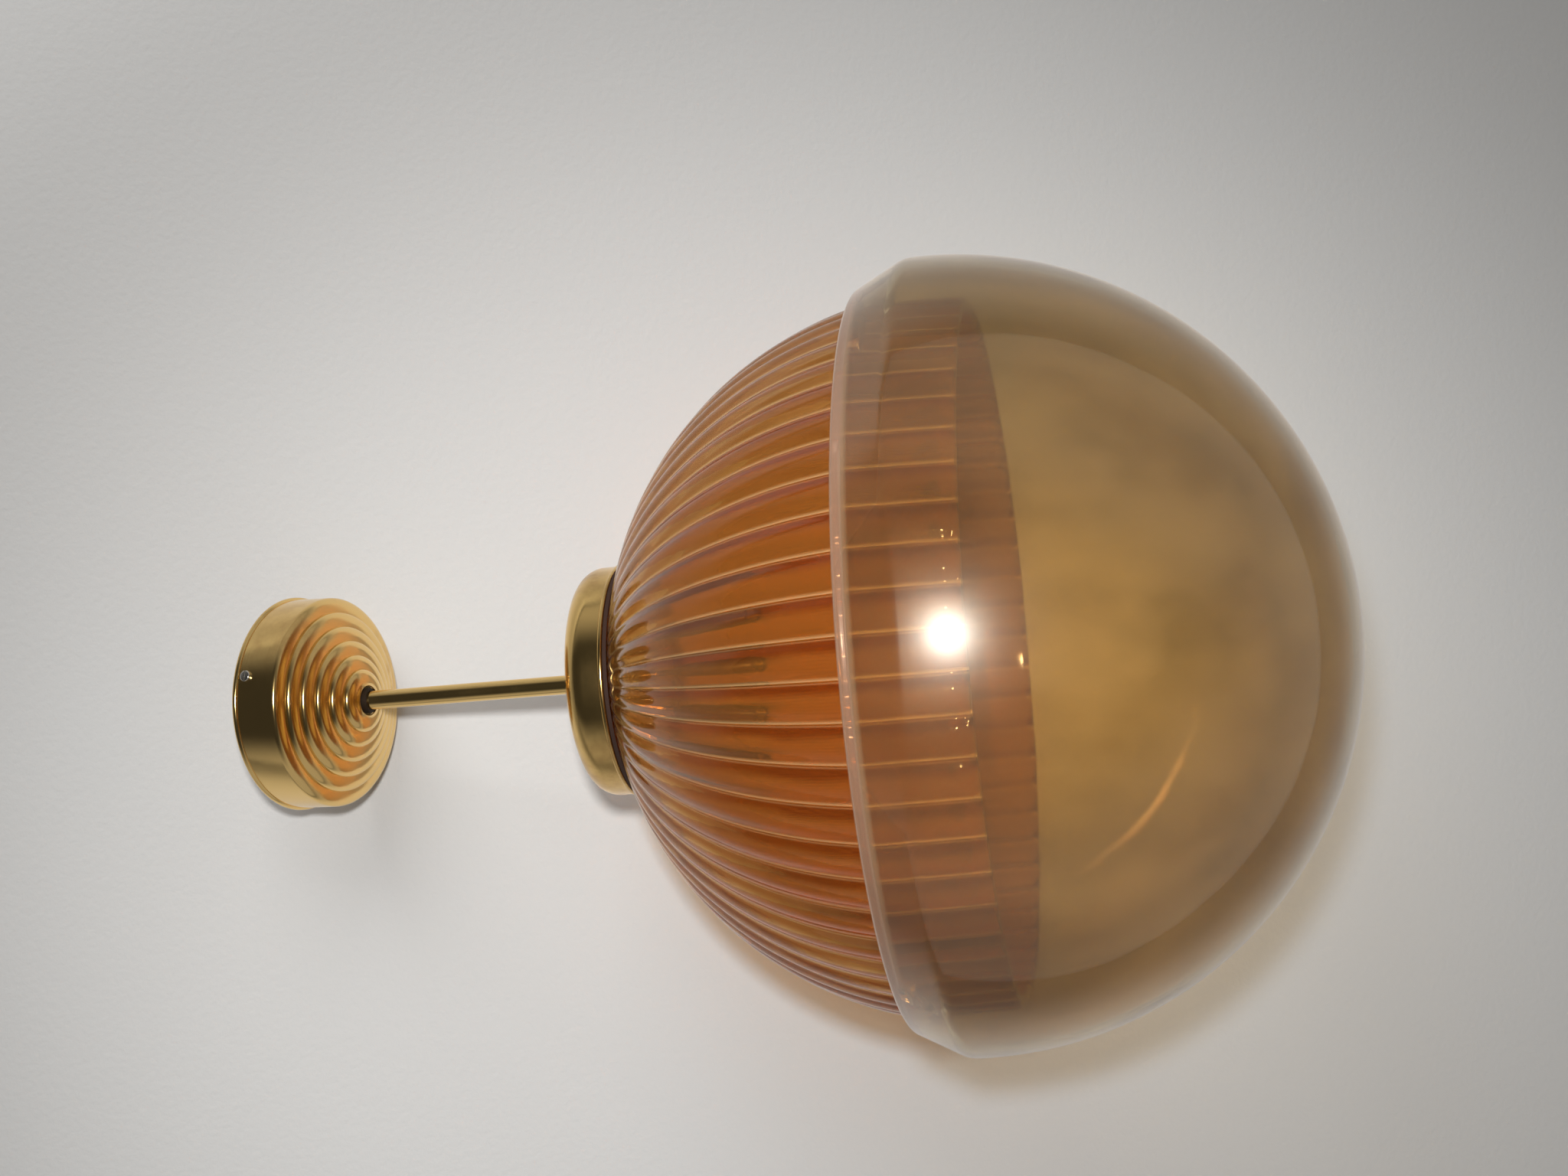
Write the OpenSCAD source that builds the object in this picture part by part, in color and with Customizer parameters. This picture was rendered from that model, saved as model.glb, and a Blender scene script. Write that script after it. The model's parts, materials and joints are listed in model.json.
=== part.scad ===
// Pendant lamp: stepped brass canopy, short stem, reeded glass dome and a smooth
// glass bowl that hangs on the dome. Millimetres, +Z up, lamp hanging.
// The origin is the centre of the stem's top end, where the lamp screws to its support.

/* [Stem] */
// Outside diameter of the stem tube
stem_d = 10; // [9:0.5:12]
// Bore of the stem tube, for the wires
stem_bore_d = 7; // [6.6:0.1:7.4]
// Free length of the top thread, for the lamp's support
top_thread_len = 8; // [6:1:12]
// Length of stem that shows between the canopy and the fitter
stem_show = 126; // [80:2:260]
// Height of every nut on the stem
nut_h = 4; // [3:0.5:5]
// Width of those nuts across their flats
nut_af = 14; // [13:1:16]
// Thickness of the toothed washers
washer_t = 1; // [0.8:0.1:1.6]

/* [Canopy] */
// Radius of the canopy's wall, outside
canopy_r = 56.4; // [50:0.2:62]
// Height of the canopy from its boss to its back rim
canopy_h = 45.5; // [38:0.5:52]
// Radius of the round boss in the middle of the canopy
boss_r = 17; // [15:0.5:20]
// Number of steps between the boss and the wall
canopy_steps = 5; // [4:1:6]
// Rise of one step
step_rise = 3.5; // [3.2:0.1:4.4]
// Radius of each step's rounded edge
step_round = 2.6; // [1.6:0.1:3]
// Thickness of the canopy's sheet
canopy_t = 1; // [0.8:0.1:1.4]
// Radius of the rolled bead round the back rim
canopy_bead_r = 1.5; // [1.2:0.1:2]
// Depth of the canopy's boss below the stem's top, as the lamp lies
canopy_drop = 46; // [44:1:60]
// Lean of the loose canopy on the stem
canopy_lean = 12; // [0:1:22]
// Direction of that lean, counted from -Y towards -X
lean_azimuth = 6; // [0:1:90]
// Number of side screws
side_screws = 3; // [2:1:4]
// Height of the side screws, from the back rim towards the boss
side_screw_h = 7.6; // [6:0.2:12]
// Diameter of the side screws' thread
side_screw_d = 3; // [2.5:0.5:4]

/* [Fitter] */
// Radius of the fitter's wall, outside
fitter_r = 59.6; // [50:0.2:64]
// Height of the fitter
fitter_h = 23; // [20:1:30]
// Radius of the fitter's shoulder
fitter_round = 12; // [8:1:14]
// Thickness of the fitter's sheet
fitter_t = 1.2; // [1:0.1:1.6]
// Radius of the rolled lip
fitter_bead_r = 1.4; // [1.2:0.1:1.8]
// Thickness of the rubber ring between the lip and the glass
lip_gasket_t = 2; // [1.6:0.1:3]

/* [Ribbed dome] */
// Radius of the dome over its ribs
dome_r = 183.3; // [183:0.1:186]
// Number of ribs
ribs = 60; // [48:3:66]
// Depth of the grooves between the ribs
rib_depth = 2.2; // [1:0.1:2.6]
// Thickness of the dome's glass under the crest of a rib
dome_wall = 7; // [6:0.5:9]
// Radius of the hole in the crown
crown_hole_r = 24; // [20:1:28]
// Inset of the dome's straight skirt from its largest radius
skirt_inset = 3.8; // [3:0.1:4.4]
// Depth of the mouth below the centre of the bowl
mouth_drop = 25; // [15:1:40]
// How much the skirt draws in towards the mouth
skirt_taper = 2; // [0:0.5:4]
// Reach of the bayonet lugs past the skirt
lug_reach = 3.8; // [3.2:0.1:4]
// Height of the bayonet lugs
lug_h = 6; // [4:0.5:8]

/* [Bowl] */
// Room between the dome's ribs and the inside of the bowl
bowl_gap = 11.7; // [9:0.1:20]
// Thickness of the bowl's glass
bowl_t = 5; // [4:0.5:6]
// Height of the bowl's rim above the centre of its sphere
rim_rise = 29; // [26:1:36]
// Thickness of the rim
rim_t = 7.5; // [7:0.5:9]
// Gap all round between the rim and the dome's skirt
rim_gap = 1.5; // [1:0.25:2]
// Height of the inner lip that rests on the lugs
rim_lip_h = 5.5; // [4:0.5:8]
// Radius of the bowl's shoulder
shoulder_round = 14; // [10:1:18]
// Drop of the dome's centre below the bowl's centre
dome_drop = 8; // [4:0.5:12]
// Turn from the locked place to the notches
bayonet_turn = 20; // [18:1:30]

/* [Lampholder] */
// Outside radius of the lampholder
holder_r = 20; // [19.5:0.5:22]
// Length of the lampholder
holder_len = 54; // [52:1:60]
// Length of its cap, down to the joint with the sleeve
holder_cap_len = 25.5; // [24:0.5:27]
// Length of stem that screws into the cap
stem_in_cap = 13; // [12:0.5:13.5]
// Radius inside the screw shell
shell_r = 13.35; // [13.3:0.05:13.5]
// Length of the screw shell's thread
shell_depth = 20; // [18:1:22]

/* [Wiring] */
// Diameter of an insulated wire
wire_d = 2.2; // [1.8:0.1:2.4]
// Length of the terminal block, across its three poles
block_len = 21; // [20:1:24]
// Width of the terminal block
block_w = 13; // [13:0.5:15]
// Height of the terminal block
block_h = 9.5; // [9:0.5:11]

/* [Hidden] */

$fn = 96;
eps = 0.01;

// Gap left between pieces that seat without touching
seat_gap = 0.3;
// Radial gap of a running fit
run_gap = 0.05;
stem_r = stem_d / 2;
thread_r = stem_r - run_gap;
bore_r = stem_bore_d / 2;

// Heights along the stem, from the top down
tag_t = 0.8;
top_washer_z = -top_thread_len - washer_t;
tag_z = top_washer_z - tag_t;
top_nut_z = tag_z - nut_h;
pivot_z = -canopy_drop;
fitter_z = pivot_z - stem_show;
lip_z = fitter_z - fitter_h;

// Spheres of the dome and the bowl
lip_mid_r = fitter_r - fitter_t / 2;
dome_in_r = dome_r - dome_wall;
skirt_r = dome_r - skirt_inset;
bowl_r = dome_r + bowl_gap + bowl_t;
dome_z = lip_z - lip_gasket_t - sqrt(dome_r * dome_r - lip_mid_r * lip_mid_r);
bowl_z = dome_z + dome_drop;
rim_z = bowl_z + rim_rise;
mouth_z = bowl_z - mouth_drop;
skirt_z = dome_z + sqrt(dome_r * dome_r - skirt_r * skirt_r);
function dome_out_z(r) = dome_z + sqrt(dome_r * dome_r - r * r);
function dome_in_z(r) = dome_z + sqrt(dome_in_r * dome_in_r - r * r);

// Clamp under the crown of the dome
clamp_in_r = crown_hole_r + 1;
clamp_out_r = crown_hole_r + 11;
clamp_gasket_t = 2;
clamp_plate_t = 2;
plate_top_z = dome_in_z(clamp_out_r) - seat_gap - clamp_gasket_t;
clamp_washer_z = plate_top_z - clamp_plate_t - washer_t;
clamp_nut_z = clamp_washer_z - nut_h;

// Bayonet between the dome and the bowl
lugs = 3;
lug_ribs = 2;
lug_top_z = rim_z - rim_lip_h - seat_gap;
lug_r = skirt_r + lug_reach;
rib_angle = 360 / ribs;
lug_angle = lug_ribs * rib_angle;
first_lug = 90;
notch_gap = 1.5;
stop_angle = 3;

// Lampholder
holder_top_z = clamp_nut_z - seat_gap;
holder_end_z = holder_top_z - holder_len;
holder_wall = 2;
holder_collar_r = 8.5;
holder_collar_h = 9.5;
holder_joint_z = holder_top_z - holder_cap_len;
neck_r = holder_r - holder_wall - 0.2;
insert_r = neck_r - 1.6;
shell_t = 0.5;
shell_z = holder_end_z + 2;
shell_neck_h = 5;
shell_neck_r = shell_r - 2.4;
insert_h = 9.5;
insert_z = shell_z + shell_depth + shell_neck_h;
insert_top_z = insert_z + insert_h;
stem_end_z = holder_top_z - stem_in_cap;
post_r = 2.6;
post_h = 4;
post_x = 9.5;
post_wire_z = insert_top_z + post_h / 2;

// Wiring beside the stem's top, turned to lie along the axis of the canopy's lean
wire_r = wire_d / 2;
wire_y = 1.7;
slot_w = 2 * (wire_y + wire_r) + 0.8;
slot_top_z = top_nut_z - 3.2;
slot_bottom_z = slot_top_z - 12;
block_x = 11;
block_top_z = tag_z - 0.4;
pole_pitch = block_len / 3;
pole_z = block_top_z - block_h / 2;
wire_hole_r = wire_r + 0.2;
wire_hole_depth = 5;
block_screw_r = 1.7;

// Points of an arc about [cx, cy], from angle a to angle b in n steps
function arc(cx, cy, r, a, b, n) =
    [for (i = [0:n]) let (t = a + (b - a) * i / n) [cx + r * cos(t), cy + r * sin(t)]];

// A tube of n sides along a list of points that never run along Y
function unit(v) = v / norm(v);
function heading(p, i) = unit(p[min(i + 1, len(p) - 1)] - p[max(i - 1, 0)]);
function tube_ring(c, h, r, n) =
    let (u = unit(cross(h, [0, 1, 0])), v = cross(h, u))
    [for (k = [0:n - 1]) c + r * (cos(360 * k / n) * u + sin(360 * k / n) * v)];

module tube_along(path, r, n = 8) {
    points = [for (i = [0:len(path) - 1]) each tube_ring(path[i], heading(path, i), r, n)];
    last = (len(path) - 1) * n;
    sides = [for (i = [0:len(path) - 2]) for (k = [0:n - 1])
        let (a = i * n + k, b = i * n + (k + 1) % n)
        each [[a, a + n, b], [b, a + n, b + n]]];
    ends = [[for (k = [0:n - 1]) k], [for (k = [n - 1:-1:0]) last + k]];
    polyhedron(points, concat(sides, ends), convexity = 6);
}

module washer(z, h, r_out, r_in) {
    translate([0, 0, z]) difference() {
        cylinder(h = h, r = r_out);
        translate([0, 0, -eps]) cylinder(h = h + 2 * eps, r = r_in);
    }
}

// Washer with a ring of notches, like the teeth of a lock washer
module toothed_washer(z, r_out, r_in) {
    teeth = 12;
    tooth_gap = 1.2;
    difference() {
        washer(z, washer_t, r_out, r_in);
        for (i = [0:teeth - 1])
            rotate([0, 0, 360 * i / teeth])
                translate([r_out - 1.5, -tooth_gap / 2, z - eps])
                    cube([3, tooth_gap, washer_t + 2 * eps]);
    }
}

module stem_hex_nut(z) {
    color("goldenrod") translate([0, 0, z]) rotate([0, 0, 30]) difference() {
        cylinder(h = nut_h, r = nut_af / sqrt(3), $fn = 6);
        translate([0, 0, -eps]) cylinder(h = nut_h + 2 * eps, r = stem_r);
    }
}

// Stem: a tube threaded at both ends, with a slot that lets the wires out
module stem_tube() {
    lower_thread_z = fitter_z + 3.4;
    color("darkgoldenrod") difference() {
        union() {
            translate([0, 0, -top_thread_len]) cylinder(h = top_thread_len, r = thread_r);
            translate([0, 0, top_washer_z]) cylinder(h = washer_t, r = thread_r - 0.4);
            translate([0, 0, top_nut_z - 1])
                cylinder(h = top_washer_z - top_nut_z + 1, r = thread_r);
            translate([0, 0, lower_thread_z])
                cylinder(h = top_nut_z - 1 - lower_thread_z, r = stem_r);
            translate([0, 0, stem_end_z])
                cylinder(h = lower_thread_z - stem_end_z, r = thread_r);
        }
        translate([0, 0, stem_end_z - eps])
            cylinder(h = -stem_end_z + 2 * eps, r = bore_r);
        rotate([0, 0, -lean_azimuth])
            translate([0, -slot_w / 2, slot_bottom_z])
                cube([stem_r + 1, slot_w, slot_top_z - slot_bottom_z]);
    }
}

module top_washer() {
    color("silver") toothed_washer(top_washer_z, 8.5, stem_r + 0.1);
}

// Solder tag for the earth wire, clamped by the top nut
module earth_tag() {
    color("gold") rotate([0, 0, -lean_azimuth]) difference() {
        union() {
            translate([0, 0, tag_z]) cylinder(h = tag_t, r = 7.6);
            translate([0, -2, tag_z]) cube([block_x - 0.2, 4, tag_t]);
        }
        translate([0, 0, tag_z - eps]) cylinder(h = tag_t + 2 * eps, r = stem_r + 0.1);
    }
}

module top_nut() {
    rotate([0, 0, -lean_azimuth]) stem_hex_nut(top_nut_z);
}

// Bush that grips the stem and lets the canopy slide and tilt on it
bush_r = stem_r + 1.8;
bush_below = 1.4;
bush_flange_r = bush_r + 2.6;
bush_flange_z = 5.4;
bush_flange_t = 1.5;
canopy_hole_r = bush_r + 1.25;

module canopy_bush() {
    bush_h = bush_below + bush_flange_z + bush_flange_t;
    color("dimgray") translate([0, 0, pivot_z]) difference() {
        union() {
            translate([0, 0, -bush_below]) cylinder(h = bush_h, r = bush_r);
            translate([0, 0, bush_flange_z]) cylinder(h = bush_flange_t, r = bush_flange_r);
        }
        translate([0, 0, -bush_below - 1]) cylinder(h = bush_h + 2, r = stem_r + run_gap);
    }
}

// Canopy, drawn with its boss down at z = 0 and its back rim up
boss_rise = 0.8;
step_pitch = (canopy_r - boss_r) / canopy_steps;
function step_r(k) = boss_r + k * step_pitch;
function step_z(k) = boss_rise + k * step_rise;
function canopy_face(t) = concat(
    [[canopy_hole_r, t]],
    [for (k = [0:canopy_steps]) each concat(
        k == 0 ? [] : [[step_r(k - 1) - t, step_z(k) + t]],
        arc(step_r(k) - step_round, step_z(k) + step_round, step_round - t, -90, 0, 5))],
    [[canopy_r - t, canopy_h]]);

module canopy_place() {
    translate([0, 0, pivot_z])
        rotate(a = canopy_lean, v = [-cos(lean_azimuth), sin(lean_azimuth), 0])
            translate([0, 0, -canopy_t / 2]) children();
}

module side_screw_place() {
    for (i = [0:side_screws - 1])
        rotate([0, 0, -71 + 360 * i / side_screws])
            translate([0, 0, canopy_h - side_screw_h])
                rotate([0, 90, 0]) children();
}

module canopy_shell() {
    outer = canopy_face(0);
    inner = canopy_face(canopy_t);
    color("gold") canopy_place() difference() {
        union() {
            rotate_extrude()
                polygon(concat(outer, [for (i = [len(inner) - 1:-1:0]) inner[i]]));
            rotate_extrude() intersection() {
                translate([canopy_r, canopy_h - canopy_bead_r]) circle(canopy_bead_r, $fn = 24);
                translate([canopy_r - canopy_t, 0]) square([2 * canopy_bead_r, canopy_h]);
            }
        }
        side_screw_place()
            translate([0, 0, canopy_r - 3]) cylinder(h = 6, r = side_screw_d / 2 + 0.1, $fn = 32);
    }
}

side_screw_len = 8;

module canopy_side_screws() {
    head_h = 1.9;
    head_r = side_screw_d;
    color("gainsboro") canopy_place() side_screw_place() difference() {
        union() {
            translate([0, 0, canopy_r + 0.1]) cylinder(h = head_h, r = head_r, $fn = 32);
            translate([0, 0, canopy_r + 0.1 - side_screw_len])
                cylinder(h = side_screw_len, r = side_screw_d / 2, $fn = 32);
        }
        translate([-head_r - 1, -0.4, canopy_r + head_h - 0.8]) cube([2 * head_r + 2, 0.8, 2]);
    }
}

module canopy_press_nuts() {
    press_nut_h = 2.4;
    press_nut_af = side_screw_d + 2.5;
    color("silver") canopy_place() side_screw_place()
        translate([0, 0, canopy_r - canopy_t - 0.2 - press_nut_h]) difference() {
            cylinder(h = press_nut_h, r = press_nut_af / sqrt(3), $fn = 6);
            translate([0, 0, -eps])
                cylinder(h = press_nut_h + 2 * eps, r = side_screw_d / 2 + run_gap, $fn = 32);
        }
}

collar_h = 3;

module fitter_collar() {
    color("gold") washer(fitter_z, collar_h, stem_r + 4, stem_r);
}

// Fitter: a shallow cup, drawn as one face, thickened inwards
function fitter_face(t) = concat(
    [[stem_r + 0.1, -t]],
    arc(fitter_r - fitter_round, -fitter_round, fitter_round - t, 90, 0, 9),
    [[fitter_r - t, -fitter_h]]);

module fitter_cap() {
    outer = fitter_face(0);
    inner = fitter_face(fitter_t);
    color("darkgoldenrod") translate([0, 0, fitter_z]) union() {
        rotate_extrude()
            polygon(concat(inner, [for (i = [len(outer) - 1:-1:0]) outer[i]]));
        rotate_extrude() intersection() {
            translate([fitter_r, fitter_bead_r - fitter_h]) circle(fitter_bead_r, $fn = 24);
            translate([fitter_r - fitter_t, -fitter_h]) square([2 * fitter_bead_r, fitter_h]);
        }
    }
}

module fitter_washer() {
    color("silver") toothed_washer(fitter_z - fitter_t - washer_t, 9, stem_r + 0.1);
}

module fitter_nut() {
    stem_hex_nut(fitter_z - fitter_t - washer_t - nut_h);
}

module lip_gasket() {
    gasket_in_r = fitter_r - 2.6;
    gasket_out_r = fitter_r + 1.2;
    color("dimgray") rotate_extrude() polygon([
        [gasket_in_r, lip_z], [gasket_out_r, lip_z],
        [gasket_out_r, dome_out_z(gasket_out_r) + seat_gap],
        [gasket_in_r, dome_out_z(gasket_in_r) + seat_gap]]);
}

// Ribbed dome, as rings of points that run down the outside and up the inside. An outer
// ring has four points to a rib: the groove, the crest and one between each. An inner
// ring has one, behind the groove.
rib_points = 4;
half_rib = rib_points / 2;
around = ribs * rib_points;
crown_t = asin(crown_hole_r / dome_r);
skirt_t = asin(skirt_r / dome_r);
hollow_from = acos((skirt_z - dome_z) / dome_in_r);
hollow_to = asin((clamp_out_r + 2) / dome_in_r);
crown_rings = 12;
hollow_rings = 7;
mouth_band = 14;
function skirt_at(z) = skirt_r - skirt_taper * pow((skirt_z - z) / (skirt_z - mouth_z), 2);
function groove_at(r) = min(rib_depth, 0.22 * 2 * PI * r / ribs);
function groove_share(k) = let (m = k % rib_points) m == 0 ? 1 : m == half_rib ? 0 : 0.25;
function ring_angle(k) = first_lug + (k - lug_ribs * half_rib) * 360 / around;
function on_lug(k) = let (m = k % (around / lugs)) m > 0 && m < lug_ribs * rib_points;

// An outer ring is [radius, height, share of the groove's depth, 1 at the lugs]
mouth_r = skirt_at(mouth_z);
mouth_in_r = mouth_r - dome_wall;
outer_rings = concat(
    [for (i = [0:crown_rings]) let (t = crown_t + (skirt_t - crown_t) * i / crown_rings)
        [dome_r * sin(t), dome_z + dome_r * cos(t), 1, 0]],
    [[skirt_at(lug_top_z + 0.05), lug_top_z + 0.05, 1, 0],
     [skirt_at(lug_top_z), lug_top_z, 1, 1],
     [skirt_at(lug_top_z - lug_h + 2), lug_top_z - lug_h + 2, 1, 1],
     [skirt_at(lug_top_z - lug_h), lug_top_z - lug_h, 1, 0],
     [skirt_at(mouth_z + mouth_band), mouth_z + mouth_band, 1, 0],
     [mouth_r, mouth_z + 2, 1, 0],
     [mouth_r - 2, mouth_z, 0.5, 0]]);
inner_rings = concat(
    [[mouth_in_r + 1, mouth_z], [mouth_in_r, mouth_z + 1]],
    [for (i = [0:hollow_rings])
        let (t = hollow_from + (hollow_to - hollow_from) * i / hollow_rings)
        [dome_in_r * sin(t), dome_z + dome_in_r * cos(t)]],
    [[crown_hole_r, dome_in_z(crown_hole_r)]]);
function outer_point(g, k) =
    let (r = g[3] == 1 && on_lug(k) ? lug_r : g[0] - g[2] * groove_share(k) * groove_at(g[0]))
    [r * cos(ring_angle(k)), r * sin(ring_angle(k)), g[1]];
function inner_point(g, i) =
    let (t = ring_angle(i * rib_points)) [g[0] * cos(t), g[0] * sin(t), g[1]];

// Quads between each ring and the next, as two triangles; rings start at point first
function band_faces(first, rings, n) =
    [for (j = [0:rings - 2]) for (k = [0:n - 1])
        let (next = (k + 1) % n, a = first + j * n + k, b = first + j * n + next)
        each [[a, b, b + n], [a, b + n, a + n]]];
// The same between an outer ring and an inner one, at the mouth and at the crown
function mouth_faces(outer, inner) =
    [for (i = [0:ribs - 1])
        let (q = inner + i, next_q = inner + (i + 1) % ribs, o = i * rib_points)
        each concat([[outer + o + half_rib, next_q, q]],
            [for (j = [0:rib_points - 1])
                [outer + o + j, outer + (o + j + 1) % around, j < half_rib ? q : next_q]])];
function crown_faces(outer, inner) = [for (f = mouth_faces(outer, inner)) [f[0], f[2], f[1]]];

module ribbed_dome() {
    outer_count = len(outer_rings);
    inner_count = len(inner_rings);
    inner_first = outer_count * around;
    points = concat(
        [for (g = outer_rings) for (k = [0:around - 1]) outer_point(g, k)],
        [for (g = inner_rings) for (i = [0:ribs - 1]) inner_point(g, i)]);
    faces = concat(
        band_faces(0, outer_count, around),
        mouth_faces(inner_first - around, inner_first),
        band_faces(inner_first, inner_count, ribs),
        crown_faces(0, inner_first + (inner_count - 1) * ribs));
    color([0.55, 0.33, 0.12, 0.75]) polyhedron(points, faces, convexity = 10);
}

module clamp_gasket() {
    color("dimgray") rotate_extrude() polygon([
        [clamp_in_r, plate_top_z], [clamp_out_r, plate_top_z],
        [clamp_out_r, dome_in_z(clamp_out_r) - seat_gap],
        [clamp_in_r, dome_in_z(clamp_in_r) - seat_gap]]);
}

module clamp_plate() {
    color("silver") washer(plate_top_z - clamp_plate_t, clamp_plate_t,
        clamp_out_r + 3, stem_r + 0.1);
}

module clamp_washer() {
    color("silver") toothed_washer(clamp_washer_z, 9, stem_r + 0.1);
}

module clamp_nut() {
    stem_hex_nut(clamp_nut_z);
}

// Lampholder cap: a collar on the stem that spreads into a dome
function cap_face(t) = concat(
    [[holder_collar_r - t, -holder_collar_h - t]],
    [for (i = [0:8]) let (a = 90 - 90 * i / 8)
        [holder_collar_r + (holder_r - t - holder_collar_r) * cos(a),
         -holder_collar_h - 12 + (12 - t) * sin(a)]],
    [[holder_r - t, holder_joint_z - holder_top_z]]);

module holder_cap() {
    outer = cap_face(0);
    inner = cap_face(holder_wall);
    color("saddlebrown") translate([0, 0, holder_top_z]) difference() {
        rotate_extrude() polygon(concat(
            [[stem_r, 0], [holder_collar_r - 1, 0], [holder_collar_r, -1]],
            outer,
            [for (i = [len(inner) - 1:-1:0]) inner[i]],
            [[stem_r, -holder_collar_h - holder_wall]]));
        translate([0, 0, -holder_collar_h / 2]) rotate([0, 90, 0])
            cylinder(h = 2 * holder_collar_r, r = 1.5 + run_gap, $fn = 32);
    }
}

module holder_grub_screw() {
    grub_len = 3.2;
    color("silver") translate([stem_r + 0.1, 0, holder_top_z - holder_collar_h / 2])
        rotate([0, 90, 0]) difference() {
            cylinder(h = grub_len, r = 1.5, $fn = 32);
            translate([-2, -0.3, grub_len - 0.8]) cube([4, 0.6, 1]);
        }
}

module holder_insert() {
    color("white") difference() {
        translate([0, 0, insert_z]) cylinder(h = insert_h, r = insert_r);
        translate([0, 0, insert_z + insert_h - 3]) cylinder(h = 4, r = 5);
    }
}

module holder_terminals() {
    color("gold") rotate([0, 0, -lean_azimuth]) for (side = [-1, 1])
        translate([side * post_x, side * wire_y, insert_top_z]) difference() {
            cylinder(h = post_h, r = post_r, $fn = 32);
            translate([-post_r - 1, -0.4, post_h - 0.8]) cube([2 * post_r + 2, 0.8, 1]);
        }
}

// Screw shell: the bulb's thread below, a drawn-in neck above that meets the insert
module holder_screw_shell() {
    color("gold") translate([0, 0, shell_z]) difference() {
        union() {
            cylinder(h = shell_depth + shell_t, r = shell_r + shell_t);
            cylinder(h = shell_depth + shell_neck_h, r = shell_neck_r + shell_t);
        }
        translate([0, 0, -eps]) cylinder(h = shell_depth + eps, r = shell_r);
        cylinder(h = shell_depth + shell_neck_h - shell_t, r = shell_neck_r);
        cylinder(h = shell_depth + shell_neck_h + 1, r = shell_neck_r - 3);
    }
}

// Springy tongue that meets the foot of the bulb
module holder_centre_contact() {
    tongue_t = 0.6;
    tongue_w = 5;
    tongue_len = 9;
    color("gold") translate([-tongue_len / 2, -tongue_w / 2, insert_z]) union() {
        translate([0, 0, -tongue_t]) cube([4, tongue_w, tongue_t]);
        translate([0.2, 0, -tongue_t]) rotate([0, 24, 0])
            cube([tongue_len, tongue_w, tongue_t]);
    }
}

module holder_sleeve() {
    sleeve_in_r = shell_r + shell_t + 0.45;
    grip_r = 0.8;
    color("saddlebrown") rotate_extrude() difference() {
        polygon([
            [sleeve_in_r, holder_end_z], [holder_r - 1.8, holder_end_z],
            [holder_r - 0.8, holder_end_z + 1], [holder_r, holder_joint_z - 4],
            [holder_r, holder_joint_z - seat_gap], [neck_r, holder_joint_z - seat_gap],
            [neck_r, holder_joint_z + 4], [insert_r + 0.2, holder_joint_z + 4],
            [insert_r + 0.2, insert_z], [sleeve_in_r, insert_z]]);
        for (i = [1:3])
            translate([holder_r + 0.2, holder_joint_z - 3 - 3 * i]) circle(grip_r, $fn = 24);
    }
}

module terminal_block() {
    color("ivory") rotate([0, 0, -lean_azimuth]) difference() {
        translate([block_x, -block_len / 2, block_top_z - block_h])
            cube([block_w, block_len, block_h]);
        for (pole = [-1:1]) translate([0, pole * pole_pitch, 0]) {
            translate([block_x - eps, 0, pole_z]) rotate([0, 90, 0])
                cylinder(h = wire_hole_depth, r = wire_hole_r, $fn = 32);
            translate([block_x + block_w - wire_hole_depth, 0, pole_z]) rotate([0, 90, 0])
                cylinder(h = wire_hole_depth + eps, r = wire_hole_r, $fn = 32);
            for (x = [3, block_w - 3])
                translate([block_x + x, 0, block_top_z - block_h - eps])
                    cylinder(h = 3, r = block_screw_r + 0.1, $fn = 32);
        }
    }
}

module block_screws() {
    color("silver") rotate([0, 0, -lean_azimuth])
        for (pole = [-1:1]) for (x = [3, block_w - 3])
            translate([block_x + x, pole * pole_pitch, block_top_z - block_h + 0.6])
                difference() {
                    cylinder(h = 2.4 - eps, r = block_screw_r, $fn = 32);
                    translate([-2, -0.3, -eps]) cube([4, 0.6, 0.7]);
                }
}

// The two lamp wires run from the block, through the slot and down the bore
function lamp_wire_path(side) = [
    [block_x + wire_hole_depth - 0.5, side * pole_pitch, pole_z],
    [block_x - 1.2, side * pole_pitch, pole_z],
    [block_x - 3.2, side * (pole_pitch - 2), pole_z - 0.8],
    [stem_r + 1.2, side * (wire_y + 0.9), pole_z - 2.2],
    [stem_r - 1, side * wire_y, pole_z - 4.4],
    [1, side * wire_y, pole_z - 8],
    [0, side * wire_y, slot_bottom_z - 3],
    [0, side * wire_y, stem_end_z - 0.2],
    [side * 0.7, side * wire_y, stem_end_z - 1.5],
    [side * 2.6, side * wire_y, post_wire_z],
    [side * (post_x - post_r - 0.1), side * wire_y, post_wire_z]];

module wire_live() {
    color("brown") rotate([0, 0, -lean_azimuth]) tube_along(lamp_wire_path(1), wire_r);
}

module wire_neutral() {
    color("royalblue") rotate([0, 0, -lean_azimuth]) tube_along(lamp_wire_path(-1), wire_r);
}

module wire_earth() {
    earth_x = block_x - 1.5;
    color("limegreen") rotate([0, 0, -lean_azimuth]) tube_along([
        [block_x + wire_hole_depth - 0.5, 0, pole_z],
        [earth_x + 0.9, 0, pole_z + 0.1],
        [earth_x, 0, pole_z + 1],
        [earth_x, 0, tag_z]], wire_r);
}

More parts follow.
